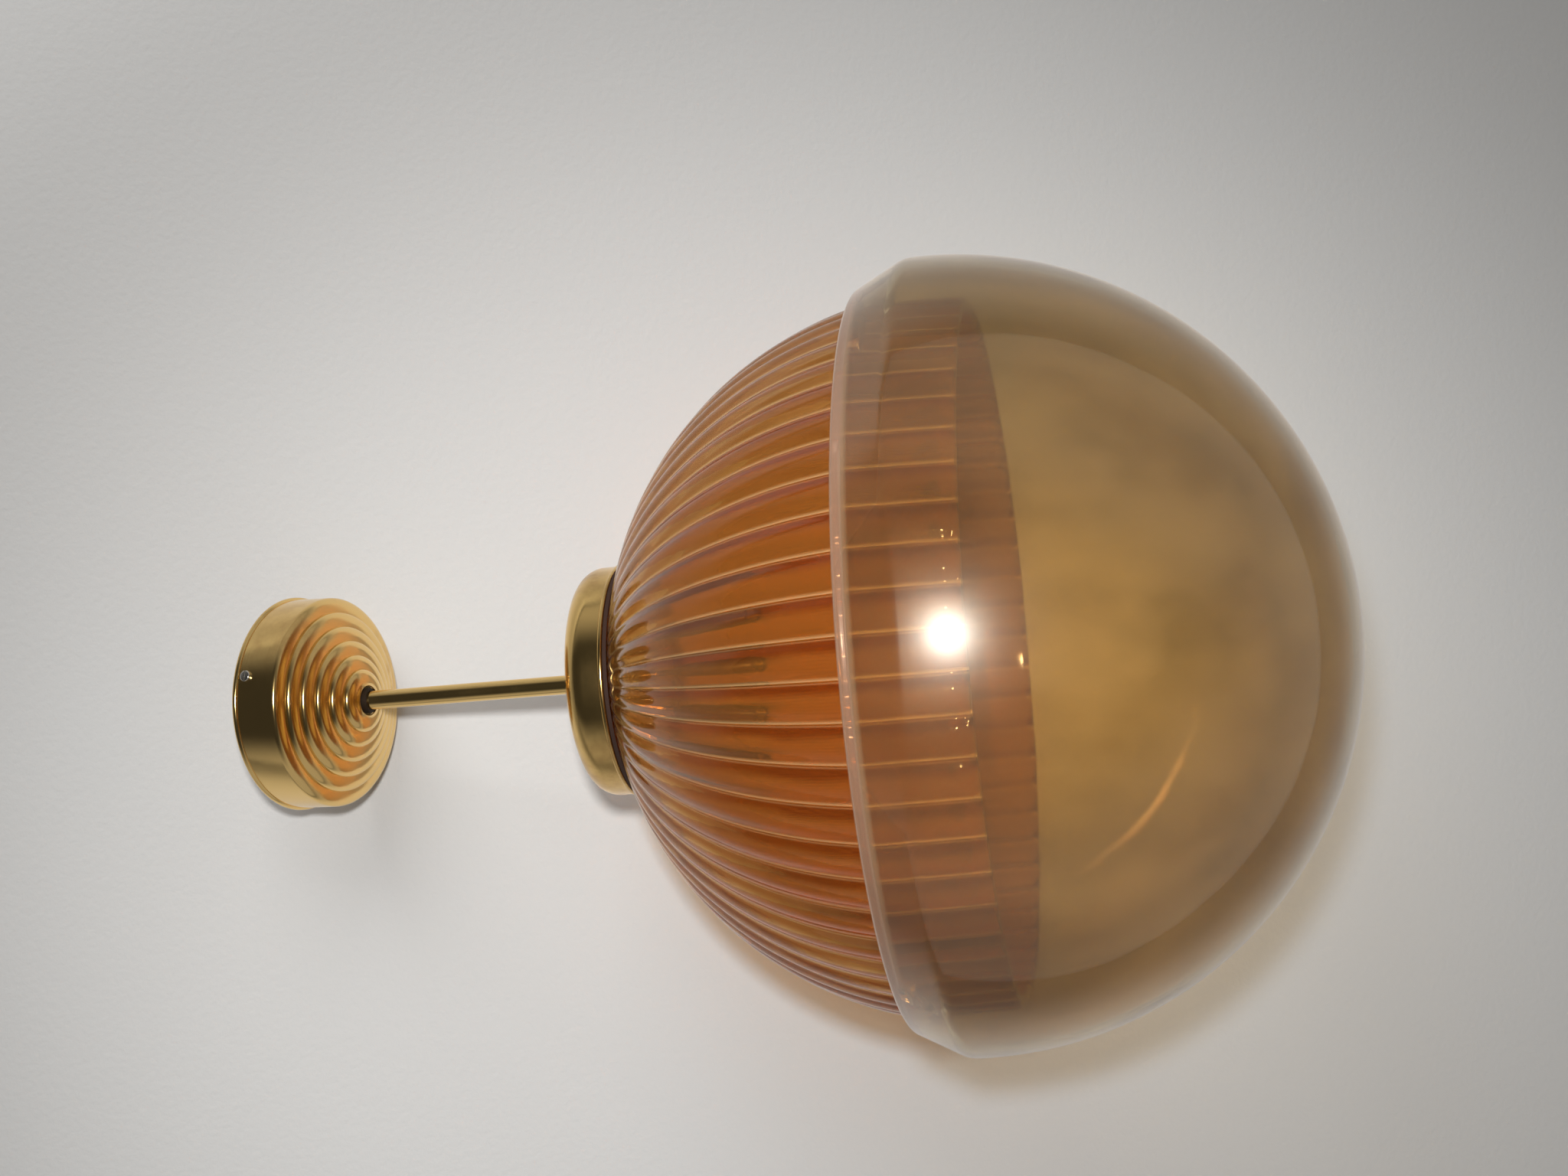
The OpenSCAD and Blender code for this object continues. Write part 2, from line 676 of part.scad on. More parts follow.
// Bowl: a half sphere, a round shoulder that draws in, and a rounded rim. The tangent
// from the shoulder's circle to the rim's circle leans by wall_lean.
rim_in_r = skirt_r + rim_gap;
rim_c = [rim_in_r + rim_t / 2, rim_rise - rim_t / 2];
shoulder_c = [bowl_r - shoulder_round, 0];
to_rim = rim_c - shoulder_c;
wall_lean = atan2(to_rim[1], to_rim[0]) - acos((shoulder_round - rim_t / 2) / norm(to_rim));
wall_in = shoulder_c + (shoulder_round - bowl_t) * [cos(wall_lean), sin(wall_lean)];
function wall_in_r(z) = wall_in[0] - (z - wall_in[1]) * tan(wall_lean);
lip_under = rim_rise - rim_lip_h;

module bowl_profile() {
    difference() {
        union() {
            intersection() {
                circle(bowl_r, $fn = 180);
                translate([0, -bowl_r]) square(bowl_r);
            }
            polygon(concat([[0, 0]],
                arc(shoulder_c[0], shoulder_c[1], shoulder_round, 0, wall_lean, 4),
                arc(rim_c[0], rim_c[1], rim_t / 2, wall_lean, 90, 5),
                [[0, rim_rise]]));
        }
        intersection() {
            circle(bowl_r - bowl_t, $fn = 180);
            translate([0, -bowl_r]) square(bowl_r);
        }
        polygon(concat([[-1, -eps], [bowl_r - bowl_t, -eps]],
            arc(shoulder_c[0], shoulder_c[1], shoulder_round - bowl_t, 0, wall_lean, 4),
            [[wall_in_r(lip_under), lip_under], [rim_in_r, lip_under]],
            arc(rim_c[0], rim_c[1], rim_t / 2, 180, 90, 5),
            [[rim_c[0], rim_rise + 1], [-1, rim_rise + 1]]));
    }
}

module outer_bowl() {
    notch_angle = lug_angle + 2 * notch_gap;
    stop_z = lip_under - lug_h + 1;
    color([0.78, 0.66, 0.45, 0.5]) translate([0, 0, bowl_z]) union() {
        difference() {
            rotate_extrude() bowl_profile();
            for (i = [0:lugs - 1])
                rotate([0, 0, first_lug + 120 * i - bayonet_turn - notch_angle / 2])
                    rotate_extrude(angle = notch_angle)
                        translate([rim_in_r - 1, lip_under - 1])
                            square([lug_r + 1 - (rim_in_r - 1), rim_lip_h + 2]);
        }
        for (i = [0:lugs - 1])
            rotate([0, 0, first_lug + 120 * i + lug_angle / 2 + 0.3])
                rotate_extrude(angle = stop_angle)
                    polygon([[rim_in_r + 0.4, lip_under + 0.1], [rim_in_r + 0.4, stop_z],
                             [wall_in_r(stop_z) + 0.3, stop_z],
                             [wall_in_r(lip_under) + 0.3, lip_under + 0.1]]);
    }
}

stem_tube();
top_washer();
earth_tag();
top_nut();
canopy_bush();
canopy_shell();
canopy_side_screws();
canopy_press_nuts();
fitter_collar();
fitter_cap();
fitter_washer();
fitter_nut();
lip_gasket();
ribbed_dome();
clamp_gasket();
clamp_plate();
clamp_washer();
clamp_nut();
holder_cap();
holder_insert();
holder_screw_shell();
holder_centre_contact();
holder_terminals();
holder_grub_screw();
holder_sleeve();
terminal_block();
block_screws();
wire_live();
wire_neutral();
wire_earth();
outer_bowl();
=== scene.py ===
"""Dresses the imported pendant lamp: the ribbed amber dome, the smooth smoky bowl, the spun
brass canopy and fitter, the stem, the lampholder and the wiring. Lengths are millimetres
until a piece is made. Run by Blender, after the part has been packed."""

import json
import math

import bmesh
import bpy
import numpy as np
from mathutils import Matrix, Vector

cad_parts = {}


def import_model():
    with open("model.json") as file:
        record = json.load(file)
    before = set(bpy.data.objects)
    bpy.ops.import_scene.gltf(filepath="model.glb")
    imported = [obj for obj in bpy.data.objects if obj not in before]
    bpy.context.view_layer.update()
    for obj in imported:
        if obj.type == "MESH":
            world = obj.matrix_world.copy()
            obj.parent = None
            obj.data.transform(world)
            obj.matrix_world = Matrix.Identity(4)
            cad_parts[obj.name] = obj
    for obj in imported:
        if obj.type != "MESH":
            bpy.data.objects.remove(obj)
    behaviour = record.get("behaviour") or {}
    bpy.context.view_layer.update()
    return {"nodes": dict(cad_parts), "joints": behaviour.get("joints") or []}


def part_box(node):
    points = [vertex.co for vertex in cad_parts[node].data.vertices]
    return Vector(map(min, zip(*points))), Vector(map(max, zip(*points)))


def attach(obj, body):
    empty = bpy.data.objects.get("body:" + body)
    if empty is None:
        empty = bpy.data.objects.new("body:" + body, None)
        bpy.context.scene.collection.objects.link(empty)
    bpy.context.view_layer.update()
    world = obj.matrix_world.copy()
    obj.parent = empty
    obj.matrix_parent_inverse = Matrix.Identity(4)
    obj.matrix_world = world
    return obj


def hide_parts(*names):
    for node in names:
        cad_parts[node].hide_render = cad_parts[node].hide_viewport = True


MM = 0.001

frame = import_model()
joints = {j["name"]: j for j in frame["joints"]}


def low(node):
    """Lowest corner of a CAD node, in millimetres."""
    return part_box(node)[0] / MM


def high(node):
    """Highest corner of a CAD node, in millimetres."""
    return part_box(node)[1] / MM


# Sizes of the lamp, in millimetres
STEM_R = 5.0
BORE_R = 3.5
THREAD_R = 4.95
THREAD_PITCH = 1.0
TOP_THREAD = 8.0
SLOT_TOP_Z = -17.0
SLOT_END_Z = -29.0
LEAN = 12.0
LEAN_AZIMUTH = 6.0
CANOPY_R = 56.4
CANOPY_H = 45.5
CANOPY_SHEET = 1.0
BOSS_R = 17.0
BOSS_RISE = 0.8
STEPS = 5
STEP_RISE = 3.5
STEP_SQUARE = 0.8
CANOPY_HOLE_R = 8.05
CANOPY_BEAD_R = 1.5
SIDE_SCREWS = 3
FIRST_SIDE_SCREW = -71.0
SIDE_SCREW_H = 7.6
SIDE_SCREW_R = 1.5
SIDE_NUT_AF = 5.5
SIDE_NUT_H = 2.4
BUSH_R = 6.8
BUSH_FLANGE = 1.5
FITTER_R = 59.6
FITTER_ROUND = 12.0
FITTER_SHEET = 1.2
FITTER_BEAD_R = 1.4
DOME_R = 183.3
DOME_WALL = 7.0
RIBS = 60
RIB_DEPTH = 2.2
CROWN_HOLE_R = 24.0
SKIRT_R = 179.5
SKIRT_TAPER = 2.0
LUG_R = 183.3
LUG_H = 6.0
LUG_GAP = 0.3
LUGS = 3
FIRST_LUG = 90.0
BOWL_R = 200.0
BOWL_WALL = 5.0
RIM_RISE = 29.0
RIM_T = 7.5
RIM_IN_R = 181.0
RIM_LIP = 5.5
SHOULDER = 14.0
DOME_DROP = 8.0
BAYONET_TURN = 20.0
NUT_AF = 14.0
HOLDER_R = 20.0
HOLDER_WALL = 2.0
SHELL_R = 13.35
SHELL_NECK_R = 10.95
SHELL_NECK_H = 5.0
WIRE_R = 1.1
WIRE_Y = 1.7
BLOCK_X = 11.0
BLOCK_GAP = 0.4
BLOCK_H = 9.5
POLE_PITCH = 7.0

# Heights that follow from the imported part
PIVOT_Z = joints["canopy_tilt"]["pos_m"][2] / MM
FITTER_Z = high("fitter_cap").z
LIP_Z = low("fitter_cap").z
MOUTH_Z = low("ribbed_dome").z
BOWL_Z = low("outer_bowl").z + BOWL_R
RIM_Z = high("outer_bowl").z
DOME_Z = BOWL_Z - DOME_DROP
SKIRT_Z = DOME_Z + math.sqrt(DOME_R**2 - SKIRT_R**2)
LUG_TOP_Z = RIM_Z - RIM_LIP - LUG_GAP
STEM_END_Z = low("stem_tube").z
HOLDER_TOP_Z = high("holder_cap").z
HOLDER_JOINT_Z = low("holder_cap").z
HOLDER_END_Z = low("holder_sleeve").z
TAG_Z = low("earth_tag").z
POLE_Z = TAG_Z - BLOCK_GAP - BLOCK_H / 2


# Meshes


def arc(cx, cy, r, start, end, steps):
    """Points (x, y) of an arc about (cx, cy), from angle start to end in degrees."""
    a = np.radians(np.linspace(start, end, steps + 1))
    return list(zip(cx + r * np.cos(a), cy + r * np.sin(a)))


def rounded(corners, steps=4):
    """A closed outline from corners (r, z, radius), each rounded by about its radius."""
    least_half_angle, most_of_side = 0.05, 0.48
    points = []
    for i, (x, y, radius) in enumerate(corners):
        here = Vector((x, y))
        back = Vector(corners[i - 1][:2]) - here
        on = Vector(corners[(i + 1) % len(corners)][:2]) - here
        if radius == 0:
            points.append((x, y))
            continue
        half = max(back.angle(on) / 2, least_half_angle)
        reach = min(radius / math.tan(half), most_of_side * back.length, most_of_side * on.length)
        start, end = here + back.normalized() * reach, here + on.normalized() * reach
        for t in np.linspace(0, 1, steps + 1):
            p = start * (1 - t) ** 2 + here * 2 * t * (1 - t) + end * t**2
            points.append((p.x, p.y))
    return points


def turned(profile, angles=192):
    """A closed profile of (r, z) turned about Z. Either may be an array over the angles."""
    a = np.linspace(0, 2 * math.pi, angles, endpoint=False) if np.isscalar(angles) else angles
    n, rows = len(a), len(profile)
    r = np.array([np.broadcast_to(p[0], n) for p in profile])
    z = np.array([np.broadcast_to(p[1], n) for p in profile])
    vertices = np.stack([r * np.cos(a), r * np.sin(a), z], -1).reshape(-1, 3)
    j, k = np.divmod(np.arange(rows * n), n)
    up, on = (j + 1) % rows, (k + 1) % n
    faces = np.stack([j * n + k, j * n + on, up * n + on, up * n + k], -1)
    return vertices, faces.tolist()


def tube(path, radius, sides=12, per_span=6):
    """A round tube along a list of points, on a Catmull-Rom spline through them."""
    p = np.array(path, float)
    ends = np.vstack([2 * p[0] - p[1], p, 2 * p[-1] - p[-2]])
    t = np.linspace(0, 1, per_span, endpoint=False)[:, None]
    line = []
    for i in range(len(p) - 1):
        a, b, c, d = ends[i : i + 4]
        line += list(
            0.5 * (2 * b + (c - a) * t + (2 * a - 5 * b + 4 * c - d) * t**2
                   + (3 * b - a - 3 * c + d) * t**3)
        )
    line = np.array(line + [p[-1]])
    heading = np.gradient(line, axis=0)
    heading /= np.linalg.norm(heading, axis=1)[:, None]
    side = np.cross(heading, [0, 1, 0])
    side /= np.linalg.norm(side, axis=1)[:, None]
    other = np.cross(heading, side)
    a = np.linspace(0, 2 * math.pi, sides, endpoint=False)
    ring = side[:, None] * np.cos(a)[:, None] + other[:, None] * np.sin(a)[:, None]
    vertices = (line[:, None] + radius * ring).reshape(-1, 3)
    faces = []
    for j in range(len(line) - 1):
        for k in range(sides):
            on = (k + 1) % sides
            faces.append([j * sides + k, j * sides + on, (j + 1) * sides + on, (j + 1) * sides + k])
    faces += [list(range(sides)), list(range(len(vertices) - sides, len(vertices)))]
    return vertices, faces


def block(low_corner, high_corner):
    """Vertices and faces of a plain box, used only to cut slots."""
    (x0, y0, z0), (x1, y1, z1) = low_corner, high_corner
    v = [(x, y, z) for x in (x0, x1) for y in (y0, y1) for z in (z0, z1)]
    f = [[0, 1, 3, 2], [4, 6, 7, 5], [0, 4, 5, 1], [2, 3, 7, 6], [0, 2, 6, 4], [1, 5, 7, 3]]
    return np.array(v, float), f


def joined(*shapes):
    """Several shapes as one list of vertices and one of faces."""
    vertices, faces, first = [], [], 0
    for v, f in shapes:
        vertices.append(np.asarray(v))
        faces += [[i + first for i in face] for face in f]
        first += len(v)
    return np.vstack(vertices), faces


def moved(shape, matrix):
    """A shape after a 4 by 4 matrix in millimetres."""
    m = np.array(matrix)
    return shape[0] @ m[:3, :3].T + m[:3, 3], shape[1]


def to_mesh(name, shape):
    """A Blender object of that shape, with its faces turned outwards."""
    mesh = bpy.data.meshes.new(name)
    mesh.from_pydata((np.asarray(shape[0]) * MM).tolist(), [], shape[1])
    work = bmesh.new()
    work.from_mesh(mesh)
    bmesh.ops.recalc_face_normals(work, faces=work.faces)
    work.to_mesh(mesh)
    work.free()
    thing = bpy.data.objects.new(name, mesh)
    bpy.context.scene.collection.objects.link(thing)
    return thing


def piece(name, shape, body, nodes, slot, place=None, crease=32):
    """A shown piece: its mesh, finish and shading, riding on a body for some CAD nodes. Its
    faces meet sharply past the crease, in degrees."""
    thing = shape if isinstance(shape, bpy.types.Object) else to_mesh(name, shape)
    if place is not None:
        thing.matrix_world = place
    mesh = thing.data
    mesh.polygons.foreach_set("use_smooth", [True] * len(mesh.polygons))
    mesh.set_sharp_from_angle(angle=math.radians(crease))
    mesh.materials.clear()
    mesh.materials.append(LOOKS[slot])
    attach(thing, body)
    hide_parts(*nodes)
    return thing


def cut_out(thing, cutter_shape):
    """Cuts a shape out of an object's mesh for good."""
    cutter = to_mesh(thing.name + "_cutter", cutter_shape)
    bite = thing.modifiers.new("bite", "BOOLEAN")
    bite.operation, bite.object, bite.solver = "DIFFERENCE", cutter, "EXACT"
    bpy.context.view_layer.update()
    shown = thing.evaluated_get(bpy.context.evaluated_depsgraph_get())
    mesh = bpy.data.meshes.new_from_object(shown)
    thing.modifiers.clear()
    thing.data = mesh
    bpy.data.objects.remove(cutter)
    return thing


def softened(name, node, width, slot):
    """A copy of a small CAD node of the lamp with its sharp edges rounded by width."""
    flat_below, sharp_above, same_point = math.radians(2), math.radians(40), 1e-6
    source = frame["nodes"][node]
    work = bmesh.new()
    work.from_mesh(source.data)
    bmesh.ops.remove_doubles(work, verts=work.verts, dist=same_point)
    bmesh.ops.dissolve_limit(work, angle_limit=flat_below, verts=work.verts, edges=work.edges)
    mesh = bpy.data.meshes.new(name)
    work.to_mesh(mesh)
    work.free()
    thing = bpy.data.objects.new(name, mesh)
    bpy.context.scene.collection.objects.link(thing)
    bevel = thing.modifiers.new("soft edges", "BEVEL")
    bevel.width, bevel.segments, bevel.limit_method = width * MM, 2, "ANGLE"
    bevel.angle_limit = sharp_above
    return piece(name, thing, "lamp", [node], slot)


# Materials

AMBER = (0.62, 0.31, 0.075)
# Darker end of the dome's colour: random stains, and painted shade on one side of each rib
STAIN_AND_SHADE_AMBER = (0.34, 0.1, 0.02)
# Painted highlight in the dome's grooves, standing in for sheen and refraction there
PAINTED_GROOVE_HIGHLIGHT = (0.88, 0.6, 0.28)
SMOKE = (0.65, 0.51, 0.28)
DARK_SMOKE = (0.42, 0.31, 0.15)
ROSY_RIM = (0.42, 0.26, 0.17)
DOME_CLEARNESS = 0.91
BOWL_CLEARNESS = 0.955
GROOVE_CLEARNESS = 0.72
RIM_CLEARNESS = 0.6


class Look:
    """A material with one Principled shader and short ways to add nodes to it."""

    def __init__(self, name, color, metallic=0.0, roughness=0.5, **sockets):
        """Starts the material. Further sockets have an underscore for each space."""
        self.material = bpy.data.materials.new(name)
        self.material.use_nodes = True
        self.tree = self.material.node_tree
        self.shader = self.tree.nodes["Principled BSDF"]
        self.set("Base Color", (*color, 1.0))
        self.set("Metallic", metallic)
        self.set("Roughness", roughness)
        for key, value in sockets.items():
            self.set(key.replace("_", " "), value)

    def set(self, socket, value):
        """Sets one of the shader's own sockets."""
        self.shader.inputs[socket].default_value = value

    def add(self, kind, **settings):
        """A new node of a kind, with its settings."""
        node = self.tree.nodes.new("ShaderNode" + kind)
        for key, value in settings.items():
            setattr(node, key, value)
        return node

    def link(self, source, target):
        """Joins an output to an input."""
        self.tree.links.new(source, target)

    def place(self):
        """The place on the object, in metres."""
        return self.add("TexCoord").outputs["Object"]

    def noise(self, scale, detail=3.0, roughness=0.5, vector=None):
        """Noise from 0 to 1, scale features to the metre."""
        node = self.add("TexNoise")
        node.inputs["Scale"].default_value = scale
        node.inputs["Detail"].default_value = detail
        node.inputs["Roughness"].default_value = roughness
        self.link(vector or self.place(), node.inputs["Vector"])
        return node.outputs["Fac"]

    def spread(self, value, low_in, high_in, low_out, high_out):
        """Maps value from one span to another and stays inside it."""
        node = self.add("MapRange", clamp=True)
        for key, number in zip(("From Min", "From Max", "To Min", "To Max"),
                               (low_in, high_in, low_out, high_out)):
            node.inputs[key].default_value = number
        self.link(value, node.inputs["Value"])
        return node.outputs["Result"]

    def colors(self, value, *stops):
        """A colour ramp of (place, colour) stops."""
        node = self.add("ValToRGB")
        ramp = node.color_ramp
        for i, (at, color) in enumerate(stops):
            stop = ramp.elements[i] if i < 2 else ramp.elements.new(at)
            stop.position, stop.color = at, (*color, 1.0)
        self.link(value, node.inputs["Fac"])
        return node.outputs["Color"]

    def mixed(self, share, first, second):
        """A blend of two colours, each a constant or a socket."""
        node = self.add("Mix", data_type="RGBA")
        self.link(share, node.inputs["Factor"])
        for key, color in (("A", first), ("B", second)):
            if isinstance(color, tuple):
                node.inputs[key].default_value = (*color, 1.0)
            else:
                self.link(color, node.inputs[key])
        return node.outputs["Result"]

    def bump(self, height, depth, strength=1.0):
        """Relief from a height of 0 to 1, depth in millimetres."""
        node = self.add("Bump")
        node.inputs["Strength"].default_value = strength
        node.inputs["Distance"].default_value = depth * MM
        self.link(height, node.inputs["Height"])
        before = self.shader.inputs["Normal"].links
        if before:
            self.link(before[0].from_socket, node.inputs["Normal"])
        self.link(node.outputs["Normal"], self.shader.inputs["Normal"])

    def rings(self, per_mm):
        """Noise that runs in rings round the piece's own Z, as a lathe leaves it."""
        split = self.add("SeparateXYZ")
        self.link(self.place(), split.inputs[0])
        flat = self.add("CombineXYZ")
        self.link(split.outputs["X"], flat.inputs["X"])
        self.link(split.outputs["Y"], flat.inputs["Y"])
        length = self.add("VectorMath", operation="LENGTH")
        self.link(flat.outputs[0], length.inputs[0])
        ring = self.add("CombineXYZ")
        self.link(length.outputs["Value"], ring.inputs["X"])
        self.link(split.outputs["Z"], ring.inputs["Y"])
        return self.noise(per_mm / MM, detail=2.0, vector=ring.outputs[0])


def brass(name, clean, stained, stain_from, roughness):
    """Spun brass with fine turning marks, shallow dents and soft, duller stains."""
    stain_scale, stain_span = 16.0, 0.22
    dull_before, dull_span, dulling = 0.1, 0.25, 0.2
    rings_per_mm, ring_depth = 1.1, 0.02
    dent_scale, dent_depth = 60.0, 0.25
    look = Look(name, clean, metallic=1.0, roughness=roughness)
    stain = look.noise(stain_scale, detail=6.0, roughness=0.62)
    look.link(look.colors(stain, (stain_from, clean), (stain_from + stain_span, stained)),
              look.shader.inputs["Base Color"])
    look.link(look.spread(stain, stain_from - dull_before, stain_from + dull_span,
                          roughness, roughness + dulling),
              look.shader.inputs["Roughness"])
    look.bump(look.rings(rings_per_mm), ring_depth, 0.5)
    look.bump(look.noise(dent_scale, detail=2.0), dent_depth, 0.35)
    return look.material


def show_through(look, share, color):
    """Mixes clear glass of a colour over the look's own shader, by a share from 0 to 1."""
    clear = look.add("BsdfTransparent")
    clear.inputs["Color"].default_value = (*color, 1.0)
    mix = look.add("MixShader")
    look.link(share, mix.inputs["Fac"])
    look.link(look.shader.outputs[0], mix.inputs[1])
    look.link(clear.outputs[0], mix.inputs[2])
    look.link(mix.outputs[0], look.tree.nodes["Material Output"].inputs["Surface"])


def glass(name, tint, shadow_tint, roughness, clearness, wave, wave_scale, coat, coat_roughness):
    """Tinted glass, a little wavy and coated, whose shadow has its own tint."""
    look = Look(name, tint, roughness=roughness, Transmission_Weight=clearness, IOR=1.5,
                Coat_Weight=coat, Coat_Roughness=coat_roughness)
    look.bump(look.noise(wave_scale, detail=2.0), wave)
    show_through(look, look.add("LightPath").outputs["Is Shadow Ray"], shadow_tint)
    return look


def ribbed_glass():
    """Amber glass by the rib attribute: a painted highlight in the grooves, and painted shade on one
    side of each rib beside them, over random stains.
    """
    look = glass("amber_glass", AMBER, shadow_tint=(0.78, 0.68, 0.55), roughness=0.07,
                 clearness=DOME_CLEARNESS, wave=0.3, wave_scale=45.0,
                 coat=0.15, coat_roughness=0.08)
    look.set("Specular Tint", (1.0, 0.74, 0.46, 1.0))
    smear_scale, smear_share = 24.0, 0.7
    groove_from, groove_to = 0.8, 0.97
    across = look.add("Attribute", attribute_name="rib").outputs["Fac"]
    # Random stains plus painted shade: the value grows across each rib, so one side of every rib is
    # darker
    stains_and_side_shade = look.add("Math", operation="MULTIPLY_ADD")
    look.link(look.noise(smear_scale, detail=5.0), stains_and_side_shade.inputs[0])
    stains_and_side_shade.inputs[1].default_value = smear_share
    look.link(across, stains_and_side_shade.inputs[2])
    # The colour from this ramp holds both the random stains and the painted shade beside the grooves
    stain = look.colors(stains_and_side_shade.outputs[0], (0.5, AMBER), (0.92, STAIN_AND_SHADE_AMBER))
    beside = look.add("Math", operation="ABSOLUTE")
    look.link(across, beside.inputs[0])
    # Painted highlight: the grooves are paler and less clear, standing in for the sheen and
    # refraction seen along them
    groove = look.spread(beside.outputs[0], groove_from, groove_to, 0.0, 1.0)
    look.link(look.mixed(groove, stain, PAINTED_GROOVE_HIGHLIGHT), look.shader.inputs["Base Color"])
    look.link(look.spread(groove, 0.0, 1.0, DOME_CLEARNESS, GROOVE_CLEARNESS),
              look.shader.inputs["Transmission Weight"])
    return look.material


def bowl_glass():
    """Smooth smoky glass with soft streaks and a dull, rosy rim."""
    look = glass("smoke_amber_glass", SMOKE, shadow_tint=(0.87, 0.83, 0.77), roughness=0.035,
                 clearness=BOWL_CLEARNESS, wave=0.35, wave_scale=14.0,
                 coat=0.5, coat_roughness=0.26)
    look.set("Sheen Weight", 0.1)
    look.set("Sheen Roughness", 0.4)
    look.set("Sheen Tint", (1.0, 0.68, 0.48, 1.0))
    look.set("Specular Tint", (1.0, 0.8, 0.62, 1.0))
    rosy_from, rosy_to = RIM_Z - 9, RIM_Z - 5
    streak_scale, streak_stretch = 13.0, (1.0, 1.0, 0.45)
    height = look.add("SeparateXYZ")
    look.link(look.place(), height.inputs[0])
    rim = look.spread(height.outputs["Z"], rosy_from * MM, rosy_to * MM, 0.0, 1.0)
    streak = look.add("Mapping")
    look.link(look.place(), streak.inputs["Vector"])
    streak.inputs["Scale"].default_value = streak_stretch
    patch = look.noise(streak_scale, detail=3.0, vector=streak.outputs[0])
    smoke = look.colors(patch, (0.42, SMOKE), (0.7, DARK_SMOKE))
    look.link(look.mixed(rim, smoke, ROSY_RIM), look.shader.inputs["Base Color"])
    look.link(look.spread(rim, 0.0, 1.0, BOWL_CLEARNESS, RIM_CLEARNESS),
              look.shader.inputs["Transmission Weight"])
    return look.material


def plain(name, color, roughness, grain, depth, metallic=0.0, **sockets):
    """A plain finish with a fine grain and a little variation in its shine."""
    shine_scale, smoother, rougher = 90.0, 0.06, 0.08
    look = Look(name, color, metallic, roughness, **sockets)
    look.link(look.spread(look.noise(shine_scale), 0.3, 0.7, roughness - smoother,
                          roughness + rougher),
              look.shader.inputs["Roughness"])
    look.bump(look.noise(grain, detail=2.0), depth)
    return look.material


LOOKS = {
    "polished_brass": brass("polished_brass", clean=(0.86, 0.59, 0.23), stained=(0.5, 0.27, 0.09),
                            stain_from=0.57, roughness=0.13),
    "aged_brass": brass("aged_brass", clean=(0.8, 0.54, 0.2), stained=(0.34, 0.17, 0.06),
                        stain_from=0.48, roughness=0.14),
    "contact_brass": plain("contact_brass", (0.68, 0.48, 0.2), 0.3, 900.0, 0.02, 1.0),
    "zinc_steel": plain("zinc_steel", (0.56, 0.56, 0.55), 0.34, 700.0, 0.03, 1.0),
    "nickel": plain("nickel", (0.66, 0.63, 0.58), 0.22, 900.0, 0.015, 1.0),
    "black_rubber": plain("black_rubber", (0.035, 0.015, 0.009), 0.85, 1500.0, 0.05),
    "black_nylon": plain("black_nylon", (0.022, 0.013, 0.007), 0.6, 1200.0, 0.03,
                         Specular_IOR_Level=0.15),
    "dark_phenolic": plain("dark_phenolic", (0.075, 0.026, 0.016), 0.26, 500.0, 0.02),
    "porcelain": plain("porcelain", (0.78, 0.76, 0.71), 0.14, 300.0, 0.02),
    "ivory_plastic": plain("ivory_plastic", (0.68, 0.62, 0.47), 0.4, 700.0, 0.02),
    "wire_brown": plain("wire_brown", (0.16, 0.06, 0.025), 0.42, 1200.0, 0.02),
    "wire_blue": plain("wire_blue", (0.03, 0.09, 0.32), 0.42, 1200.0, 0.02),
    "wire_green": plain("wire_green", (0.1, 0.3, 0.06), 0.42, 1200.0, 0.02),
    "amber_glass": ribbed_glass(),
    "smoke_amber_glass": bowl_glass(),
}


# Glass


def smooth(x):
    """0 to 1 with soft ends."""
    x = np.clip(x, 0, 1)
    return x * x * (3 - 2 * x)


def near(angles, centre, half, edge):
    """1 closer to centre than half and 0 farther off, over a soft edge, all in degrees."""
    off = np.abs((angles - centre + 180) % 360 - 180)
    return smooth((half - off) / edge + 0.5)


def skirt_at(z):
    """Radius of the dome's skirt at a height."""
    return SKIRT_R - SKIRT_TAPER * ((SKIRT_Z - z) / (SKIRT_Z - MOUTH_Z)) ** 2


# Places of the points across one rib, from its groove on
RIB_SAMPLES = np.array([0, 0.045, 0.11, 0.2, 0.32, 0.5, 0.68, 0.8, 0.89, 0.955])
RIB_ANGLE = 360 / RIBS
LUG_HALF = RIB_ANGLE
LUGS_AT = [FIRST_LUG + 360 / LUGS * i for i in range(LUGS)]


